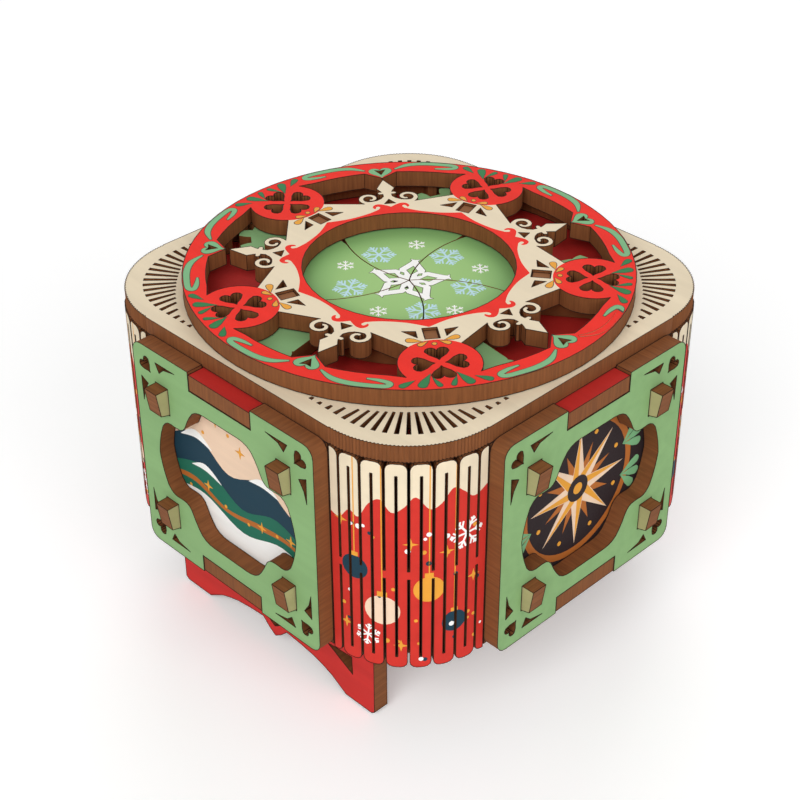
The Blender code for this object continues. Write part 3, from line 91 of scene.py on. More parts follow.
# Materials
class Nodes:
    """Short hand for building a material's node tree."""

    def __init__(self, name):
        self.material = bpy.data.materials.new(name)
        self.material.use_nodes = True
        self.tree = self.material.node_tree
        self.shader = self.tree.nodes["Principled BSDF"]
        self.place = self.add("ShaderNodeTexCoord")

    def add(self, kind, **settings):
        node = self.tree.nodes.new(kind)
        for key, value in settings.items():
            setattr(node, key, value)
        return node

    def link(self, source, target):
        self.tree.links.new(source, target)

    def math(self, operation, first, second):
        node = self.add("ShaderNodeMath", operation=operation)
        for socket, value in zip(node.inputs, (first, second)):
            if isinstance(value, (int, float)):
                socket.default_value = value
            else:
                self.link(value, socket)
        return node.outputs[0]

    def dot(self, vector_socket, direction):
        node = self.add("ShaderNodeVectorMath", operation="DOT_PRODUCT")
        self.link(vector_socket, node.inputs[0])
        node.inputs[1].default_value = direction
        return node.outputs["Value"]

    def level(self, vector_socket):
        """The vector without its height."""
        node = self.add("ShaderNodeVectorMath", operation="MULTIPLY")
        self.link(vector_socket, node.inputs[0])
        node.inputs[1].default_value = (1.0, 1.0, 0.0)
        return node.outputs[0]

    def stretched(self, scale):
        mapping = self.add("ShaderNodeMapping")
        mapping.inputs["Scale"].default_value = scale
        self.link(self.place.outputs["Object"], mapping.inputs["Vector"])
        return mapping.outputs["Vector"]

    def noise(self, scale, stretch=(1.0, 1.0, 1.0), detail=3.0):
        node = self.add("ShaderNodeTexNoise")
        node.inputs["Scale"].default_value = scale
        node.inputs["Detail"].default_value = detail
        self.link(self.stretched(stretch), node.inputs["Vector"])
        return node.outputs["Fac"]

    def ramp(self, factor, stops):
        node = self.add("ShaderNodeValToRGB")
        self.link(factor, node.inputs["Fac"])
        elements = node.color_ramp.elements
        while len(elements) < len(stops):
            elements.new(0.5)
        for element, (place, colour) in zip(elements, stops):
            element.position = place
            element.color = colour
        return node.outputs["Color"]

    def mix(self, factor, first, second, blend="MIX"):
        node = self.add("ShaderNodeMix", data_type="RGBA", blend_type=blend)
        for socket, value in ((node.inputs["Factor"], factor), (node.inputs["A"], first),
                              (node.inputs["B"], second)):
            if isinstance(value, (tuple, float)):
                socket.default_value = value
            else:
                self.link(value, socket)
        return node.outputs["Result"]

    def bump(self, height, strength, distance):
        node = self.add("ShaderNodeBump")
        node.inputs["Strength"].default_value = strength
        node.inputs["Distance"].default_value = distance
        self.link(height, node.inputs["Height"])
        self.link(node.outputs["Normal"], self.shader.inputs["Normal"])


def shade(colour, factor):
    return tuple(min(1.0, c * factor) for c in colour[:3]) + (1.0,)


GRAIN_SCALE = 260.0
GRAIN_STRETCH = (0.18, 1.6, 1.6)
GRAIN_DETAIL = 5.0
STREAK_SCALE = 2600.0
STREAK_DETAIL = 2.0
STREAK_LENGTH = 0.06
WALL_STREAK_LENGTH = 0.3
PLY_SHINE = 0.12
PLY_BUMP = 0.05 * MM
BRUSH_SCALE = 1300.0
BRUSH_BUMP = 0.02 * MM
FACE_LIMIT = 0.6
WALL_FACE_LIMIT = 0.8
EDGE_BROWN = linear("#885431")
EDGE_DARK = linear("#76482A")
BARE_BROWN = linear("#94653F")


def grained(build, colour, strength=0.07):
    """Print on wood: the grain, which runs along X, and the colour that it tints faintly."""
    grain = build.noise(GRAIN_SCALE, GRAIN_STRETCH, GRAIN_DETAIL)
    dark = shade(colour, 1.0 - strength)
    light = shade(colour, 1.0 + strength / 2.0)
    return grain, build.ramp(grain, [(0.3, dark), (0.7, light)])


def streak_stretch(normal):
    """Noise scale that draws streaks along a sheet's normal."""
    return [STREAK_LENGTH if abs(v) > 0.5 else 1.0 for v in normal]


def scorched(build, stretch):
    """Scorched edge: its streaks and their colour."""
    streaks = build.noise(STREAK_SCALE, stretch, STREAK_DETAIL)
    return streaks, build.ramp(streaks, [(0.32, EDGE_DARK), (0.68, EDGE_BROWN)])


def printed_ply(name, face_hex, outward, back=BARE_BROWN):
    """Plywood sheet: ink on the face that looks outward, scorched edges, bare wood behind."""
    build = Nodes(name)
    facing = build.dot(build.place.outputs["Normal"], outward)
    grain, face = grained(build, linear(face_hex))
    streaks, edge = scorched(build, streak_stretch(outward))
    wood = build.ramp(grain, [(0.3, shade(back, 0.82)), (0.7, shade(back, 1.1))])
    is_face = build.math("GREATER_THAN", facing, FACE_LIMIT)
    is_back = build.math("LESS_THAN", facing, -FACE_LIMIT)
    colour = build.mix(is_face, edge, face)
    colour = build.mix(is_back, colour, wood)
    build.link(colour, build.shader.inputs["Base Color"])
    rough = build.ramp(streaks, [(0.0, (0.55, 0.55, 0.55, 1.0)), (1.0, (0.8, 0.8, 0.8, 1.0))])
    build.link(rough, build.shader.inputs["Roughness"])
    build.shader.inputs["Specular IOR Level"].default_value = PLY_SHINE
    build.bump(streaks, 0.12, PLY_BUMP)
    return build.material


def leaf_ply(name):
    """Iris leaf: pale green ink that deepens away from the middle of the box, with painted shade in the
    band under the ring's inner wall, scorched edges.
    """
    build = Nodes(name)
    facing = build.dot(build.place.outputs["Normal"], Z_AXIS)
    reach = build.add("ShaderNodeVectorMath", operation="LENGTH")
    build.link(build.level(build.place.outputs["Object"]), reach.inputs[0])
    share = build.math("DIVIDE", reach.outputs["Value"], RING_RADIUS * MM)
    # Pale middle to deeper green is the print's gradient. The deepest stop at 0.46 of the ring radius,
    # where the ring's inner wall stands over the leaves, is partly painted shade, and the green lifts
    # again beyond it.
    face = build.ramp(share, [(0.0, linear("#A2C880")), (0.30, linear("#9AC27A")),
                              (0.46, linear("#7FAE6B")), (0.6, linear("#86B079"))])
    grain = build.noise(GRAIN_SCALE, GRAIN_STRETCH, GRAIN_DETAIL)
    edge = build.ramp(grain, [(0.3, EDGE_DARK), (0.7, EDGE_BROWN)])
    colour = build.mix(build.math("GREATER_THAN", facing, FACE_LIMIT), edge, face)
    build.link(colour, build.shader.inputs["Base Color"])
    build.shader.inputs["Roughness"].default_value = 0.6
    build.shader.inputs["Specular IOR Level"].default_value = PLY_SHINE
    build.bump(grain, 0.08, PLY_BUMP)
    return build.material


def ink(name, hex_colour):
    """Printing ink over the grain."""
    build = Nodes(name)
    grain, colour = grained(build, linear(hex_colour), 0.05)
    build.link(colour, build.shader.inputs["Base Color"])
    rough = build.ramp(grain, [(0.0, (0.5, 0.5, 0.5, 1.0)), (1.0, (0.68, 0.68, 0.68, 1.0))])
    build.link(rough, build.shader.inputs["Roughness"])
    build.shader.inputs["Specular IOR Level"].default_value = PLY_SHINE
    return build.material


def metal(name, hex_colour, roughness, stretch):
    build = Nodes(name)
    colour = linear(hex_colour)
    brushed = build.noise(BRUSH_SCALE, stretch)
    tone = build.ramp(brushed, [(0.3, shade(colour, 0.85)), (0.7, shade(colour, 1.05))])
    build.link(tone, build.shader.inputs["Base Color"])
    smoother = (roughness * 0.8,) * 3 + (1.0,)
    rougher = (roughness * 1.3,) * 3 + (1.0,)
    rough = build.ramp(brushed, [(0.2, smoother), (0.8, rougher)])
    build.link(rough, build.shader.inputs["Roughness"])
    build.shader.inputs["Metallic"].default_value = 1.0
    build.bump(brushed, 0.1, BRUSH_BUMP)
    return build.material


INKS = {
    "cream": "#EADABD", "red": "#EE3126", "leaf_dark": "#2F7A47", "stroke_green": "#7DB583",
    "gold": "#E9A23B", "peach": "#F2D3B7", "navy": "#1C3B4A", "teal": "#236B55", "white": "#FBFAF6",
    "terracotta": "#B5692F", "charcoal": "#2C2224", "sky": "#BFE0EA", "line": "#4A4238",
}
INK_MATERIALS = {}


def ink_material(name):
    if name not in INK_MATERIALS:
        INK_MATERIALS[name] = ink(f"ink_{name}", INKS[name])
    return INK_MATERIALS[name]


def give(node, material):
    mesh = NODES[node].data
    mesh.materials.clear()
    mesh.materials.append(material)


def outward_of(side_index):
    return Matrix.Rotation(side_index * math.pi / 2.0, 3, "Z") @ -Y_AXIS


def sideways_of(side_index):
    return Matrix.Rotation(side_index * math.pi / 2.0, 3, "Z") @ X_AXIS


def dress_nodes():
    """Procedural materials for every CAD node."""
    up = tuple(Z_AXIS)
    give("turning_ring", printed_ply("ring_red_ply", "#EE3126", up))
    give("deck_plate", printed_ply("deck_red_ply", "#BC2C27", up))
    give("top_plate", printed_ply("plate_cream_ply", "#EADABD", up))
    give("base_plate", printed_ply("base_ply", "#7B4A2B", up, linear("#7B4A2B")))
    bare = printed_ply("bare_ply", "#8A5A38", up)
    for node in NODES:
        if node.startswith(("retaining", "pivot_post")):
            give(node, bare)
        if node.startswith("iris_leaf"):
            give(node, leaf_ply(f"{node}_ply"))
    for index, side in enumerate(SIDES):
        outward = tuple(outward_of(index))
        give(f"{side}_panel_frame", printed_ply(f"{side}_green_ply", "#8AB077", outward))
        ground = ("#F2D3B7", "#2C2224", "#1C3B4A", "#236B55")[index]
        give(f"{side}_picture_plate", printed_ply(f"{side}_picture_ply", ground, outward))
        peg = two_faced_ply(f"{side}_peg_ply", "#B2A87A", tuple(sideways_of(index)))
        for hand in "ab":
            give(f"{side}_upright_{hand}", peg)
    for index, name in enumerate(WALLS):
        give(f"{name}_corner_wall", wall_ply(f"{name}_wall_ply", index))
    for node in ("front_leg_board", "back_leg_board"):
        give(node, two_faced_ply(f"{node}_ply", "#CE3430", tuple(Y_AXIS)))
    brass = metal("turned_brass", "#C9A24B", 0.3, (1.0, 1.0, 0.1))
    steel = metal("ground_steel", "#B4B6BA", 0.3, (0.1, 1.0, 1.0))
    cast = metal("cast_bed_metal", "#A3A19B", 0.5, (1.0, 1.0, 1.0))
    for node, slot in SLOT_OF.items():
        if slot in METAL_SLOTS:
            give(node, {"brass": brass, "steel": steel, "cast_bed": cast}[slot])


def two_faced_ply(name, face_hex, normal):
    """Plywood sheet that is the same colour on both faces, with scorched edges."""
    build = Nodes(name)
    facing = build.math("ABSOLUTE", build.dot(build.place.outputs["Normal"], normal), 0.0)
    grain, face = grained(build, linear(face_hex), 0.1)
    edge = scorched(build, streak_stretch(normal))[1]
    colour = build.mix(build.math("GREATER_THAN", facing, FACE_LIMIT), edge, face)
    build.link(colour, build.shader.inputs["Base Color"])
    build.shader.inputs["Roughness"].default_value = 0.65
    build.shader.inputs["Specular IOR Level"].default_value = PLY_SHINE
    build.bump(grain, 0.1, PLY_BUMP)
    return build.material


def wall_centre(index):
    """Place on the floor of the axis that a corner wall bends round."""
    return Matrix.Rotation(index * math.pi / 2.0, 3, "Z") @ Vector((WALL_CENTRE, -WALL_CENTRE, 0.0)) * MM


def wall_ply(name, index):
    """Bent wall: red ink where the surface looks away from the wall's axis, scorched cuts elsewhere."""
    build = Nodes(name)
    centre = wall_centre(index)
    away = build.add("ShaderNodeVectorMath", operation="SUBTRACT")
    build.link(build.place.outputs["Object"], away.inputs[0])
    away.inputs[1].default_value = centre
    unit = build.add("ShaderNodeVectorMath", operation="NORMALIZE")
    build.link(build.level(away.outputs[0]), unit.inputs[0])
    facing = build.add("ShaderNodeVectorMath", operation="DOT_PRODUCT")
    build.link(unit.outputs[0], facing.inputs[0])
    build.link(build.place.outputs["Normal"], facing.inputs[1])
    grain, face = grained(build, linear("#CF352C"), 0.06)
    streaks, edge = scorched(build, (1.0, 1.0, WALL_STREAK_LENGTH))
    colour = build.mix(build.math("GREATER_THAN", facing.outputs["Value"], WALL_FACE_LIMIT), edge, face)
    build.link(colour, build.shader.inputs["Base Color"])
    build.shader.inputs["Roughness"].default_value = 0.62
    build.shader.inputs["Specular IOR Level"].default_value = PLY_SHINE
    build.bump(streaks, 0.1, PLY_BUMP)
    return build.material


# Drawing helpers
def polar(radius, turn, centre=(0.0, 0.0)):
    return (centre[0] + radius * math.cos(turn), centre[1] + radius * math.sin(turn))


def arc(radius, start, end, steps, centre=(0.0, 0.0)):
    return [polar(radius, start + (end - start) * i / steps, centre) for i in range(steps + 1)]


def circle(radius, centre=(0.0, 0.0), steps=20):
    return arc(radius, 0.0, 2.0 * math.pi, steps, centre)[:-1]


def turned(points, turn):
    c, s = math.cos(turn), math.sin(turn)
    return [(x * c - y * s, x * s + y * c) for x, y in points]


def moved(points, x, y):
    return [(px + x, py + y) for px, py in points]


def scaled(points, size):
    return [(x * size, y * size) for x, y in points]


def mirrored(points):
    return [(x, -y) for x, y in reversed(points)]


def smooth(points, fine=6, closed=False):
    count = len(points)
    spans = count if closed else count - 1
    result = []
    for i in range(spans):
        if closed:
            a, b, c, d = (points[(i + k) % count] for k in (-1, 0, 1, 2))
        else:
            a, b, c, d = (points[min(max(i + k, 0), count - 1)] for k in (-1, 0, 1, 2))
        for step in range(fine):
            t = step / fine
            result.append(tuple(
                0.5 * (2.0 * q + (r - p) * t + (2.0 * p - 5.0 * q + 4.0 * r - s) * t * t
                       + (3.0 * q - p - 3.0 * r + s) * t ** 3)
                for p, q, r, s in zip(a, b, c, d)))
    if not closed:
        result.append(points[-1])
    return result


def drop(tip, end, width):
    """Teardrop from its tip to the middle of its round end."""
    length = math.hypot(end[0] - tip[0], end[1] - tip[1])
    turn = math.atan2(end[1] - tip[1], end[0] - tip[0])
    radius = width / 2.0
    side = [(0.0, 0.0), (length * 0.35, radius * 0.35), (length * 0.7, radius * 0.85)]
    outline = [(x, -y) for x, y in side]
    outline += arc(radius, -math.pi / 2.2, math.pi / 2.2, 8, (length, 0.0))
    outline += list(reversed(side[1:]))
    return moved(turned(outline, turn), *tip)


def stroke(path, widths, fine=6):
    """Ribbon along a smooth path, with a width at each of its points."""
    line = smooth([(x, y, w) for (x, y), w in zip(path, widths)], fine)
    left, right = [], []
    for i, (x, y, width) in enumerate(line):
        before = line[max(i - 1, 0)]
        after = line[min(i + 1, len(line) - 1)]
        dx, dy = after[0] - before[0], after[1] - before[1]
        size = math.hypot(dx, dy) or 1.0
        nx, ny = -dy / size * width / 2.0, dx / size * width / 2.0
        left.append((x + nx, y + ny))
        right.append((x - nx, y - ny))
    return right + left[::-1]


def grown(loop, distance):
    """Anticlockwise outline pushed out by a distance, or in where it is negative."""
    result = []
    for before, here, after in zip([loop[-1]] + loop[:-1], loop, loop[1:] + [loop[0]]):
        first = Vector((here[1] - before[1], before[0] - here[0])).normalized()
        second = Vector((after[1] - here[1], here[0] - after[0])).normalized()
        push = (first + second) * (distance / max(1.0 + first.dot(second), 0.4))
        result.append((here[0] + push.x, here[1] + push.y))
    return result


def bar(start, end, width):
    return stroke([start, end], [width, width], 1)


def heart(tip, width, turn, steps=28):
    unit = width / 32.0
    points = []
    for i in range(steps):
        t = 2.0 * math.pi * i / steps
        across = 16.0 * math.sin(t) ** 3
        along = 13.0 * math.cos(t) - 5.0 * math.cos(2.0 * t) - 2.0 * math.cos(3.0 * t) - math.cos(4.0 * t)
        points.append(((along + 17.0) * unit, across * unit))
    return moved(turned(points, turn), *tip)


def star(points_count, outer, inner, centre=(0.0, 0.0), turn=math.pi / 2.0):
    result = []
    for i in range(2 * points_count):
        radius = outer if i % 2 == 0 else inner
        result.append(polar(radius, turn + math.pi * i / points_count, centre))
    return result


def snowflake(radius, centre, turn=0.0, width=0.12, branches=(0.5, 0.78)):
    """Six-armed flake as separate bars; loops overlap, so each is its own film outline."""
    loops = []
    for i in range(6):
        angle = turn + i * math.pi / 3.0
        bars = [bar((0.0, 0.0), (radius, 0.0), width * radius)]
        for place in branches:
            start = (place * radius, 0.0)
            size = radius * (1.05 - place) * 0.75
            for sign in (1.0, -1.0):
                end = (start[0] + size * math.cos(math.pi / 4.0), sign * size * math.sin(math.pi / 4.0))
                bars.append(bar(start, end, width * radius * 0.85))
        loops += [moved(turned(points, angle), *centre) for points in bars]
    return loops


# Solids from drawings
def axes_matrix(origin, x_dir, y_dir):
    matrix = Matrix((x_dir, y_dir, x_dir.cross(y_dir))).transposed().to_4x4()
    matrix.translation = Vector(origin)
    return matrix


def filled_mesh(loops, thickness):
    """Flat drawing as a closed sheet from zero to its thickness, in millimetres."""
    curve = bpy.data.curves.new("drawing", "CURVE")
    curve.dimensions = "2D"
    curve.fill_mode = "BOTH"
    curve.extrude = thickness / 2.0
    for loop in loops:
        spline = curve.splines.new("POLY")
        spline.points.add(len(loop) - 1)
        for point, (x, y) in zip(spline.points, loop):
            point.co = (x, y, 0.0, 1.0)
        spline.use_cyclic_u = True
    flat = bpy.data.objects.new("drawing", curve)
    bpy.context.scene.collection.objects.link(flat)
    graph = bpy.context.evaluated_depsgraph_get()
    mesh = bpy.data.meshes.new_from_object(flat.evaluated_get(graph))
    bpy.data.objects.remove(flat, do_unlink=True)
    bpy.data.curves.remove(curve)
    return mesh


def film_shape(loops, layer, separate):
    """The ink film as a bmesh: one closed sheet, or one for each loop where loops overlap."""
    shape = bmesh.new()
    groups = [[loop] for loop in loops] if separate else [loops]
    height = INK_STEP * layer
    for group in groups:
        mesh = filled_mesh(group, height)
        mesh.transform(Matrix.Translation((0.0, 0.0, height / 2.0)))
        shape.from_mesh(mesh)
        bpy.data.meshes.remove(mesh)
    if not separate:
        bmesh.ops.remove_doubles(shape, verts=shape.verts, dist=WELD)
    return shape


def solid_copy(node, matrix):
    """Closed, welded copy of a node's mesh, moved by a matrix."""
    shape = bmesh.new()
    shape.from_mesh(NODES[node].data)
    bmesh.ops.remove_doubles(shape, verts=shape.verts, dist=WELD * MM)
    mesh = bpy.data.meshes.new("clip")
    shape.to_mesh(mesh)
    shape.free()
    mesh.transform(matrix)
    return mesh


def clipped(item, clip_mesh, overlapping):
    """Keep the part of the item that lies inside the clip, as its own mesh."""
    clip = bpy.data.objects.new("clip", clip_mesh)
    bpy.context.scene.collection.objects.link(clip)
    modifier = item.modifiers.new("clip", "BOOLEAN")
    modifier.operation = "INTERSECT"
    modifier.solver = "EXACT"
    modifier.use_self = overlapping
    modifier.object = clip
    graph = bpy.context.evaluated_depsgraph_get()
    mesh = bpy.data.meshes.new_from_object(item.evaluated_get(graph))
    item.modifiers.clear()
    item.data = mesh
    bpy.data.objects.remove(clip, do_unlink=True)


def settle(item, ink_name, node):
    """Material and body of a finished piece; an empty one is dropped."""
    if not item.data.polygons:
        bpy.data.objects.remove(item, do_unlink=True)
        return None
    item.data.materials.clear()
    item.data.materials.append(ink_material(ink_name))
    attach(item, BODY_OF[node])
    return item


def print_on(name, loops, ink_name, node, face, layer=1, separate=False):
    """Ink on a flat face of a node, cut to the node's own outline and openings."""
    shape = film_shape(loops, layer, separate)
    mesh = bpy.data.meshes.new(name)
    shape.to_mesh(mesh)
    shape.free()
    mesh.transform(face @ Matrix.Scale(MM, 4))
    item = bpy.data.objects.new(name, mesh)
    bpy.context.scene.collection.objects.link(item)
    outward = (face.to_3x3() @ Z_AXIS).normalized()
    clipped(item, solid_copy(node, Matrix.Translation(outward * CLIP_SHIFT * MM)), separate)
    return settle(item, ink_name, node)


def print_lined(name, loops, ink_name, node, face, layer, holes=()):
    """Ink with a hair line round it, which is a darker film below, a little larger."""
    below = [grown(loop, HAIR) for loop in loops] + [grown(loop, -HAIR) for loop in holes]
    apart = not holes
    print_on(f"{name}_line", below, "line", node, face, layer, apart)
    print_on(name, [*loops, *holes], ink_name, node, face, layer + 1, apart)


# Ring prints
def round_ring(points, frame_turn=LOBE_TURN, both=False):
    """Copies of a drawing in ring shares, about each lobe or finial."""
    loops = []
    for i in range(LOBES):
        turn = i * LOBE_STEP + frame_turn
        loops.append(turned(scaled(points, RING_RADIUS), turn))
        if both:
            loops.append(turned(scaled(mirrored(points), RING_RADIUS), turn))
    return loops


CURL = ((0.541, 0.0), (0.558, 0.022), (0.571, 0.045), (0.572, 0.066), (0.561, 0.080), (0.546, 0.086),
        (0.532, 0.083), (0.527, 0.075))
CURL_INSIDE = ((0.527, 0.075), (0.545, 0.069), (0.548, 0.059), (0.538, 0.0525), (0.5215, 0.0605))
BAND_EDGE = ((0.4595, -0.205), (0.4705, -0.150), (0.4875, -0.094), (0.5095, -0.047), (0.536, 0.0))


def cream_zone():
    """Edges of the ring's cream part: lobes and rim outside, the red band with its curls inside."""
    outer, inner = [], []
    half = smooth(CURL, 3)[:-1] + smooth(CURL_INSIDE, 3)[:-1]
    half += smooth([CURL_INSIDE[-1], *turned(BAND_EDGE, LOBE_TURN)], 3)
    for i in range(LOBES):
        finial = i * LOBE_STEP
        outer += [polar(0.825, finial + math.radians(a)) for a in (-9.0, -4.0, 0.0, 4.0, 9.0)]
        lobe = arc(LOBE_INK_RADIUS, math.radians(-105.0), math.radians(-255.0), 24, (LOBE_CENTRE, 0.0))
        outer += turned(lobe, finial + LOBE_TURN)
        inner += turned(mirrored(half)[:-1] + half[:-1], finial)
    return scaled(outer, RING_RADIUS), scaled(inner, RING_RADIUS)


def print_ring():
    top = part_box("turning_ring")[1].z
    face = axes_matrix((0.0, 0.0, top), X_AXIS, Y_AXIS)
    node, slot = "turning_ring", "red_print"
    outer, inner = cream_zone()
    print_on("ring_cream_print", [outer, inner], "cream", node, face, 1)
    gold = round_ring(drop((0.6445, 0.046), (0.6285, 0.098), 0.030), LOBE_TURN, True)
    gold += round_ring(drop((0.6475, 0.024), (0.668, 0.058), 0.023), LOBE_TURN, True)
    gold += round_ring(circle(0.0095, (0.668, 0.0), 12))
    print_lined("ring_gold_drops", gold, "gold", node, face, 3)
    leaves = round_ring(drop((0.925, 0.122), (0.956, 0.176), 0.028), LOBE_TURN, True)
    leaves += round_ring(drop((0.885, 0.052), (0.962, 0.096), 0.037), LOBE_TURN, True)
    leaves += round_ring(drop((0.9125, 0.050), (0.972, 0.028), 0.020), LOBE_TURN, True)
    print_lined("ring_dark_leaves", leaves, "leaf_dark", node, face, 3)
    hook = [(0.893, 0.268), (0.882, 0.322), (0.884, 0.366), (0.908, 0.362), (0.933, 0.300),
            (0.955, 0.215), (0.954, 0.140), (0.922, 0.074)]
    widths = [0.008, 0.020, 0.024, 0.025, 0.026, 0.028, 0.026, 0.008]
    print_lined("ring_green_strokes", round_ring(stroke(hook, widths), 0.0, True), "stroke_green",
                node, face, 3)
    print_lined("ring_green_hearts", round_ring(heart((0.838, 0.0), 0.112, 0.0), 0.0), "stroke_green",
                node, face, 3)


# Iris prints
STAR_TURN = math.radians(54.0)
FLAKES = ((0.272, 96.0), (0.268, 166.0), (0.270, 239.0), (0.272, 328.0), (0.268, 32.5))
SMALL_FLAKES = ((-0.204, 0.253), (0.153, 0.300), (0.321, -0.040), (0.093, -0.281), (-0.296, -0.110))


def paper_star():
    """Edge and openings of a white paper star with five forked rays."""
    edge, holes = [], []
    ray = [polar(0.096, -LOBE_TURN), (0.0955, -0.0585), (0.132, -0.036), (0.163, -0.018), (0.176, -0.0135),
           (0.188, -0.0225), (0.183, 0.0)]
    gap = [(0.050, -0.002), (0.070, -0.011), (0.086, 0.0), (0.070, 0.011), (0.050, 0.002)]
    pane = [(0.046, 0.0), (0.086, -0.027), (0.130, 0.0), (0.086, 0.027)]
    for i in range(5):
        turn = STAR_TURN + i * LOBE_STEP
        edge += turned(ray + mirrored(ray[1:-1]), turn)
        holes += [turned(pane, turn), turned(gap, turn + LOBE_TURN)]
    return scaled(edge, RING_RADIUS), [scaled(loop, RING_RADIUS) for loop in holes]


def print_iris():
    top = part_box("iris_leaf_1")[1].z
    face = axes_matrix((0.0, 0.0, top), X_AXIS, Y_AXIS)
    edge, holes = paper_star()
    flakes = []
    for radius, degrees in FLAKES:
        place = polar(radius * RING_RADIUS, math.radians(degrees))
        flakes += snowflake(0.080 * RING_RADIUS, place, math.radians(degrees), 0.12, (0.42, 0.68))
    small = []
    for x, y in SMALL_FLAKES:
        small += snowflake(0.042 * RING_RADIUS, (x * RING_RADIUS, y * RING_RADIUS), 0.3, 0.15, (0.55,))
    for i in range(LOBES):
        node = f"iris_leaf_{i + 1}"
        print_lined(f"{node}_star_print", [edge], "white", node, face, 1, holes)
        print_on(f"{node}_flake_print", flakes, "sky", node, face, 1, True)
        print_on(f"{node}_small_flake_print", small, "white", node, face, 1, True)


# Corner wall prints
def wall_place(u, v, height, index):
    """Point of the wall's drawing on its facets; u runs along the bend from the diagonal."""
    length = WALL_RADIUS * math.pi / 2.0
    share = min(max(u / length + 0.5, 0.0), 1.0) * WALL_FACETS
    facet = min(int(share), WALL_FACETS - 1)
    part = share - facet
    step = math.pi / 2.0 / WALL_FACETS
    first = polar(WALL_RADIUS, facet * step - math.pi / 2.0)
    second = polar(WALL_RADIUS, (facet + 1) * step - math.pi / 2.0)
    flat = Vector((first[0] + (second[0] - first[0]) * part,
                   first[1] + (second[1] - first[1]) * part, 0.0))
    point = flat + flat.normalized() * height + Vector((WALL_CENTRE, -WALL_CENTRE, v))
    return Matrix.Rotation(index * math.pi / 2.0, 3, "Z") @ point * MM


def print_on_wall(name, loops, ink_name, index, layer=1, separate=False):
    """Ink on a corner wall: a flat drawing bent round the facets and cut by the wall's slots."""
    node = f"{WALLS[index]}_corner_wall"
    shape = film_shape(loops, layer, separate)
    length = WALL_RADIUS * math.pi / 2.0
    for i in range(1, WALL_FACETS):
        place = (i / WALL_FACETS - 0.5) * length
        everything = list(shape.verts) + list(shape.edges) + list(shape.faces)
        bmesh.ops.bisect_plane(shape, geom=everything, plane_co=(place, 0.0, 0.0), plane_no=X_AXIS,
                               dist=WELD / 10.0)
    for vert in shape.verts:
        vert.co = wall_place(vert.co.x, vert.co.y, vert.co.z, index)
    mesh = bpy.data.meshes.new(name)
    shape.to_mesh(mesh)
    shape.free()
    item = bpy.data.objects.new(name, mesh)
    bpy.context.scene.collection.objects.link(item)
    centre = wall_centre(index)
    spread = 1.0 + WALL_SPREAD / WALL_RADIUS
    wider = Matrix.Diagonal((spread, spread, 1.0, 1.0))
    about = Matrix.Translation(centre) @ wider @ Matrix.Translation(-centre)
    clipped(item, solid_copy(node, about), separate)
    return settle(item, ink_name, node)


WALL_BOTTOM = 17.35
WALL_TOP = 57.7
SNOW_SHARES = ((-1.0, 0.70), (-0.86, 0.69), (-0.72, 0.745), (-0.60, 0.725), (-0.47, 0.80),
               (-0.33, 0.83), (-0.20, 0.775), (-0.06, 0.80), (0.08, 0.85), (0.24, 0.79), (0.38, 0.81),
               (0.52, 0.87), (0.66, 0.84), (0.80, 0.80), (1.0, 0.83))
BAUBLES = ((-8.8, 36.5, 2.3, "navy"), (-4.2, 29.0, 2.9, "peach"), (3.2, 33.5, 2.5, "gold"),
           (7.4, 26.0, 2.1, "navy"))
WALL_STARS = ((-11.2, 45.0), (0.3, 42.6), (6.0, 40.5), (-1.2, 22.0), (10.8, 34.0), (-10.5, 24.5))
WALL_DOTS = 34
DOT_REACH = 12.6
DOT_MARGIN = 1.5
DOT_RISE_SHARE = 0.7
DOT_RADII = (0.25, 0.5)
THREAD_WIDTH = 0.2
CAP_SHARE = 1.3


def bauble(x, y, radius):
    body = circle(radius, (x, y), 24)
    cap = [(x - radius * 0.28, y + radius * 0.95), (x + radius * 0.28, y + radius * 0.95),
           (x + radius * 0.28, y + radius * CAP_SHARE), (x - radius * 0.28, y + radius * CAP_SHARE)]
    return body, cap


def flipped(loops, flip):
    """The drawing itself, or its mirror image."""
    return [[(-x, y) for x, y in reversed(loop)] for loop in loops] if flip else loops


def print_walls():
    half = WALL_RADIUS * math.pi / 4.0
    height = WALL_TOP - WALL_BOTTOM
    drip = [(x * half, WALL_BOTTOM + y * height) for x, y in smooth(SNOW_SHARES, 5)]
    snow = [(-half, WALL_TOP), *drip, (half, WALL_TOP)]
    rule = random.Random(5)
    for index, wall in enumerate(WALLS):
        white, gold, navy, peach, threads = [], [], [], [], []
        for place, level, radius, pot in BAUBLES:
            body, cap = bauble(place, level, radius)
            {"navy": navy, "peach": peach, "gold": gold}[pot].append(body)
            gold.append(cap)
            threads.append(bar((place, level + radius * CAP_SHARE), (place, WALL_TOP), THREAD_WIDTH))
        for _ in range(WALL_DOTS):
            place = (rule.uniform(-DOT_REACH, DOT_REACH),
                     rule.uniform(WALL_BOTTOM + DOT_MARGIN, WALL_BOTTOM + height * DOT_RISE_SHARE))
            rule.choice((white, gold, navy)).append(circle(rule.uniform(*DOT_RADII), place, 8))
        gold += [star(4, 1.25, 0.36, place) for place in WALL_STARS]
        white += snowflake(3.0, (9.4, 43.0), 0.1, 0.12) + snowflake(2.2, (-6.6, 23.4), 0.4, 0.13)
        films = (("snow", [snow], "cream", 1, False), ("thread", threads, "gold", 2, True),
                 ("gold", gold, "gold", 3, True), ("navy", navy, "navy", 2, True),
                 ("peach", peach, "peach", 2, True), ("white", white, "white", 3, True))
        for film, loops, ink_name, layer, separate in films:
            print_on_wall(f"{wall}_{film}_print", flipped(loops, index % 2), ink_name, index, layer,
                          separate)


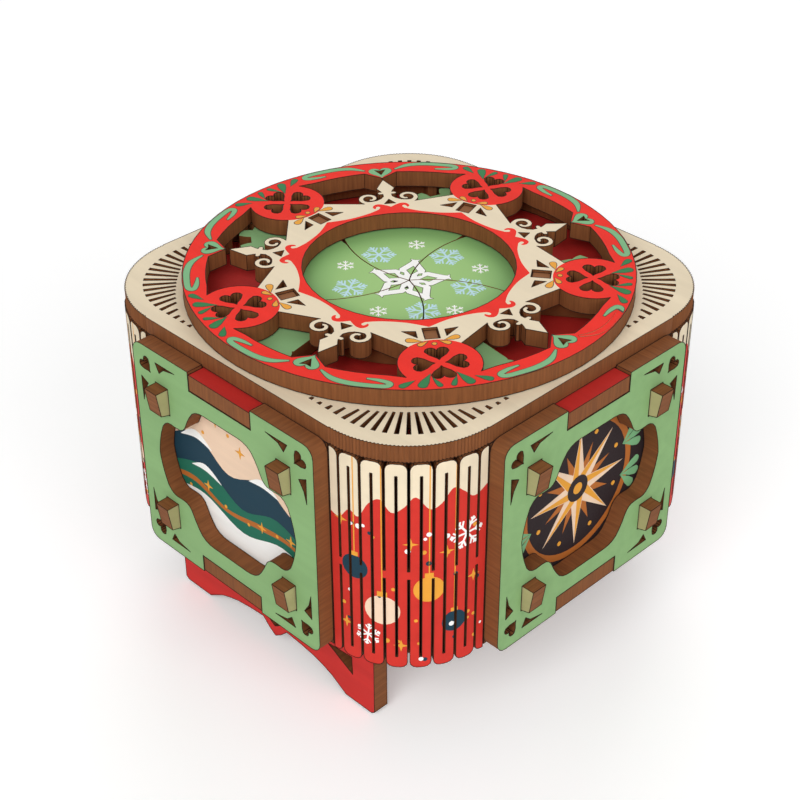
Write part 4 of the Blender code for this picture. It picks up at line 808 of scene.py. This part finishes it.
# Picture prints
PICTURE_LOW = -15.0
PICTURE_STARS = ((-12.0, 8.2), (-5.5, 10.4), (0.5, 7.2), (3.4, 11.2), (-8.6, -4.2), (5.0, -5.6),
                 (12.2, -4.4))
PICTURE_DOTS = ((-9.0, 6.6), (-2.4, 9.2), (13.2, 5.4), (-13.4, -6.4), (-4.2, -6.2), (1.6, -6.8),
                (8.8, -5.2), (14.6, 1.6))


def hills(points):
    """Smooth skyline, filled down to the picture's lower edge."""
    line = smooth(points, 6)
    return [*line, (points[-1][0], PICTURE_LOW), (points[0][0], PICTURE_LOW)]


def picture_face(index):
    node = f"{SIDES[index]}_picture_plate"
    low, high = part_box(node)
    outward = outward_of(index)
    reach = max(abs(low.dot(outward)), abs(high.dot(outward)))
    middle = (low.z + high.z) / 2.0
    return node, axes_matrix(outward * reach + Z_AXIS * middle, sideways_of(index), Z_AXIS)


def print_picture(index, films):
    node, face = picture_face(index)
    for count, (ink_name, loops, separate) in enumerate(films):
        print_on(f"{SIDES[index]}_picture_film_{count + 1}", loops, ink_name, node, face,
                 count + 1, separate)


def picture_stars(places):
    return [star(4, 1.2, 0.35, place) for place in places]


def print_hills():
    """Front picture: hills under a moon."""
    night = hills([(-19.0, 1.5), (-11.0, 5.5), (-3.0, 1.0), (6.0, 4.0), (13.0, 0.5), (19.0, 3.0)])
    near = hills([(-19.0, -3.5), (-9.0, -0.5), (0.0, -4.5), (9.0, -2.0), (19.0, -6.0)])
    snow = hills([(-19.0, -8.0), (-10.0, -6.5), (0.0, -9.5), (10.0, -7.0), (19.0, -10.0)])
    moon = [circle(3.4, (8.2, 7.6), 32)]
    stars = picture_stars(PICTURE_STARS) + [circle(0.35, place, 8) for place in PICTURE_DOTS]
    caps = [stroke([(-15.0, 3.5), (-11.0, 5.3), (-7.0, 3.8)], [0.1, 1.6, 0.1]),
            stroke([(2.4, 2.7), (6.0, 3.8), (9.6, 2.6)], [0.1, 1.5, 0.1]),
            stroke([(-12.6, -1.6), (-9.0, -0.7), (-5.0, -2.2)], [0.1, 1.3, 0.1])]
    ribbon = [stroke([(-19.0, -5.8), (-12.0, -4.6), (-4.0, -6.9), (5.0, -5.7), (12.0, -5.3), (19.0, -8.2)],
                     [0.7, 1.1, 0.8, 1.1, 0.8, 0.9])]
    print_picture(0, [("cream", moon, False), ("navy", [night], False), ("teal", [near], False),
                      ("terracotta", ribbon, False), ("white", [snow] + caps, True),
                      ("gold", stars, True)])


def print_compass():
    """Right picture: an eight-pointed star in a ring, with four sprigs."""
    rays = [turned([(2.2, -1.5), (11.5, 0.0), (2.2, 1.5)], i * math.pi / 4.0) for i in range(8)]
    short = [turned([(2.6, -1.1), (8.4, 0.0), (2.6, 1.1)], (i + 0.5) * math.pi / 4.0) for i in range(8)]
    disc = [circle(13.6, (0.0, 0.0), 48), circle(12.3, (0.0, 0.0), 48)]
    halves = [turned([(2.2, 0.0), (11.0, 0.0), (2.2, 1.4)], i * math.pi / 4.0) for i in range(8)]
    middle = [circle(2.5, (0.0, 0.0), 24)]
    sprigs = []
    for sign_x in (1.0, -1.0):
        for sign_y in (1.0, -1.0):
            for turn in (0.0, 0.55, -0.55):
                leaf = drop((0.0, 0.0), (4.2, 0.0), 1.7)
                sprigs.append(moved(turned(leaf, math.atan2(sign_y * 0.25, sign_x) + turn),
                                    sign_x * 11.2, sign_y * 3.2))
    dots = [circle(0.45, polar(10.2, (i + 0.5) * math.pi / 4.0), 10) for i in range(8)]
    print_picture(1, [("terracotta", disc, False), ("terracotta", short, True), ("peach", rays, True),
                      ("gold", halves, True), ("stroke_green", sprigs, True), ("charcoal", middle, False),
                      ("gold", dots + [circle(1.1, (0.0, 0.0), 16)], True)])


def print_large_flake():
    """Back picture: one large flake with sparks round it."""
    flakes = snowflake(9.5, (0.0, 0.0), math.pi / 6.0, 0.09, (0.3, 0.52, 0.76))
    sparks = [circle(0.4, polar(radius, turn), 8) for radius, turn in
              [(6.0 + 2.6 * (i % 3), i * 0.73) for i in range(17)]]
    ring = [circle(12.6, (0.0, 0.0), 48), circle(12.0, (0.0, 0.0), 48)]
    print_picture(2, [("teal", [circle(11.2, (0.0, 0.0), 48)], False), ("gold", ring, False),
                      ("white", flakes, True), ("peach", sparks, True)])


def print_swag():
    """Left picture: a swag with three hanging globes."""
    swag = [stroke([(-18.0, 8.0), (-9.0, 3.6), (0.0, 7.4), (9.0, 3.6), (18.0, 8.0)],
                   [1.4, 1.9, 1.4, 1.9, 1.4])]
    globes = [circle(2.2, (-9.0, -1.4), 24), circle(2.2, (9.0, -1.4), 24)]
    globe = [circle(3.2, (0.0, -3.0), 28)]
    threads = [bar((-9.0, 3.6), (-9.0, 0.8), 0.3), bar((9.0, 3.6), (9.0, 0.8), 0.3),
               bar((0.0, 7.4), (0.0, 0.2), 0.3)]
    bands = [stroke([(-3.0, -3.4), (0.0, -2.4), (3.0, -3.4)], [0.8, 0.8, 0.8]),
             stroke([(-11.0, -1.6), (-9.0, -1.0), (-7.0, -1.6)], [0.6, 0.6, 0.6]),
             stroke([(7.0, -1.6), (9.0, -1.0), (11.0, -1.6)], [0.6, 0.6, 0.6])]
    floor = hills([(-19.0, -9.0), (-8.0, -7.4), (2.0, -9.4), (11.0, -8.0), (19.0, -9.6)])
    stars = picture_stars(PICTURE_STARS[:6])
    print_picture(3, [("peach", [floor], False), ("stroke_green", swag, False), ("gold", threads, True),
                      ("red", globes + globe, True), ("white", bands + stars, True)])


# Scorched cut lines
def upright_edge(edge):
    """Whether an edge stands straight up."""
    low, high = edge.verts
    return math.hypot(high.co.x - low.co.x, high.co.y - low.co.y) < WELD * MM


def sharp_chains(mesh, level_only=False):
    """Chains of points along the sharp edges of a closed mesh, with or without the upright ones."""
    shape = bmesh.new()
    shape.from_mesh(mesh)
    bmesh.ops.remove_doubles(shape, verts=shape.verts, dist=WELD * MM)
    sharp = [e for e in shape.edges if len(e.link_faces) == 2 and e.calc_face_angle(0.0) > LINE_ANGLE]
    if level_only:
        sharp = [e for e in sharp if not upright_edge(e)]
    at = {}
    for edge in sharp:
        for vert in edge.verts:
            at.setdefault(vert, []).append(edge)
    used = set()
    chains = []
    starts = [v for v in at if len(at[v]) != 2] + list(at)
    for start in starts:
        for first in at[start]:
            if first in used:
                continue
            chain = [start]
            edge, vert = first, start
            while edge is not None and edge not in used:
                used.add(edge)
                vert = edge.other_vert(vert)
                chain.append(vert)
                onward = [e for e in at[vert] if e not in used]
                edge = onward[0] if len(at[vert]) == 2 and onward else None
            closed = chain[0] is chain[-1] and len(chain) > 3
            chains.append(([v.co.copy() for v in (chain[:-1] if closed else chain)], closed))
    shape.free()
    return chains


def scorch_lines(node, material):
    """Thin dark tubes along a sheet's sharp edges."""
    curve = bpy.data.curves.new(f"{node}_cut_lines", "CURVE")
    curve.dimensions = "3D"
    curve.bevel_depth = LINE_RADIUS * MM
    curve.bevel_resolution = 0
    curve.use_fill_caps = True
    for points, closed in sharp_chains(NODES[node].data, node == "top_plate"):
        spline = curve.splines.new("POLY")
        spline.points.add(len(points) - 1)
        for point, place in zip(spline.points, points):
            point.co = (*place, 1.0)
        spline.use_cyclic_u = closed
    curve.materials.append(material)
    item = bpy.data.objects.new(f"{node}_cut_lines", curve)
    bpy.context.scene.collection.objects.link(item)
    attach(item, BODY_OF[node])
    return item


def draw_cut_lines():
    char = ink("char", "#2B1A12")
    for node, slot in SLOT_OF.items():
        if slot not in METAL_SLOTS and not node.startswith("iris_leaf"):
            scorch_lines(node, char)


# Stage
def add_light(name, place, energy):
    data = bpy.data.lights.new(name, "AREA")
    data.energy = energy
    data.shape = "DISK"
    data.size = LIGHT_SIZE
    item = bpy.data.objects.new(name, data)
    item.location = place
    item.rotation_euler = (Vector(LIGHT_TARGET) - Vector(place)).to_track_quat("-Z", "Y").to_euler()
    bpy.context.scene.collection.objects.link(item)


def seen_strength(tree, plain, seen):
    """Strength that is one value for the light that falls on things and another where it is looked at."""
    path = tree.nodes.new("ShaderNodeLightPath")
    looked_at = path.outputs["Is Camera Ray"]
    for ray in ("Is Glossy Ray", "Is Transmission Ray"):
        either = tree.nodes.new("ShaderNodeMath")
        either.operation = "MAXIMUM"
        tree.links.new(looked_at, either.inputs[0])
        tree.links.new(path.outputs[ray], either.inputs[1])
        looked_at = either.outputs[0]
    spread = tree.nodes.new("ShaderNodeMapRange")
    tree.links.new(looked_at, spread.inputs["Value"])
    spread.inputs["To Min"].default_value = plain
    spread.inputs["To Max"].default_value = seen
    return spread.outputs["Result"]


WORLD_LIGHT = 0.4
FLOOR_GLOW = 0.22
FLOOR_SIZE = 3.0
FLOOR_DROP = 0.0004
LIGHT_SIZE = 0.8
LIGHTS = (("key_light", (0.35, -0.85, 0.72), 6.3), ("side_light", (0.95, -0.15, 0.6), 3.6),
          ("back_light", (-0.6, 0.7, 0.8), 3.5))
LIGHT_TARGET = (0.0, 0.0, 0.03)


def build_floor():
    shape = bmesh.new()
    bmesh.ops.create_grid(shape, x_segments=1, y_segments=1, size=FLOOR_SIZE)
    mesh = bpy.data.meshes.new("floor")
    shape.to_mesh(mesh)
    shape.free()
    item = bpy.data.objects.new("floor", mesh)
    item.location.z = -FLOOR_DROP
    bpy.context.scene.collection.objects.link(item)
    build = Nodes("floor_white")
    build.shader.inputs["Base Color"].default_value = (0.93, 0.93, 0.93, 1.0)
    build.shader.inputs["Roughness"].default_value = 0.9
    build.shader.inputs["Specular IOR Level"].default_value = 0.0
    build.shader.inputs["Emission Color"].default_value = (1.0, 1.0, 1.0, 1.0)
    build.link(seen_strength(build.tree, 0.0, FLOOR_GLOW), build.shader.inputs["Emission Strength"])
    mesh.materials.append(build.material)


CAMERA_PLACE = (4.6233, -4.6146, 3.7435)
CAMERA_AZIMUTH = math.radians(45.4242)
CAMERA_ELEVATION = math.radians(34.4144)
CAMERA_ROLL = math.radians(-0.1913)
CAMERA_LENS = 76.35
CAMERA_SENSOR = 36.0


def build_stage():
    build_floor()
    ring_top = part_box("turning_ring")[1].z
    data = bpy.data.cameras.new("camera")
    data.lens = CAMERA_LENS
    data.sensor_width = CAMERA_SENSOR
    data.clip_start = 0.01
    camera = bpy.data.objects.new("camera", data)
    back = Vector((math.sin(CAMERA_AZIMUTH) * math.cos(CAMERA_ELEVATION),
                   -math.cos(CAMERA_AZIMUTH) * math.cos(CAMERA_ELEVATION), math.sin(CAMERA_ELEVATION)))
    right = (-back).cross(Z_AXIS).normalized()
    up = right.cross(-back)
    rolled_right = right * math.cos(CAMERA_ROLL) + up * math.sin(CAMERA_ROLL)
    rolled_up = up * math.cos(CAMERA_ROLL) - right * math.sin(CAMERA_ROLL)
    matrix = Matrix((rolled_right, rolled_up, back)).transposed().to_4x4()
    place = Vector(CAMERA_PLACE) * RING_RADIUS * MM
    matrix.translation = place + Z_AXIS * ring_top
    camera.matrix_world = matrix
    bpy.context.scene.collection.objects.link(camera)
    bpy.context.scene.camera = camera
    world = bpy.data.worlds.new("studio")
    world.use_nodes = True
    tree = world.node_tree
    background = tree.nodes["Background"]
    background.inputs["Color"].default_value = (1.0, 1.0, 1.0, 1.0)
    tree.links.new(seen_strength(tree, WORLD_LIGHT, 1.0), background.inputs["Strength"])
    bpy.context.scene.world = world
    for name, place, energy in LIGHTS:
        add_light(name, place, energy)
    bpy.context.scene.view_settings.view_transform = "Standard"


build_stage()
dress_nodes()
print_ring()
print_iris()
print_walls()
print_hills()
print_compass()
print_large_flake()
print_swag()
draw_cut_lines()
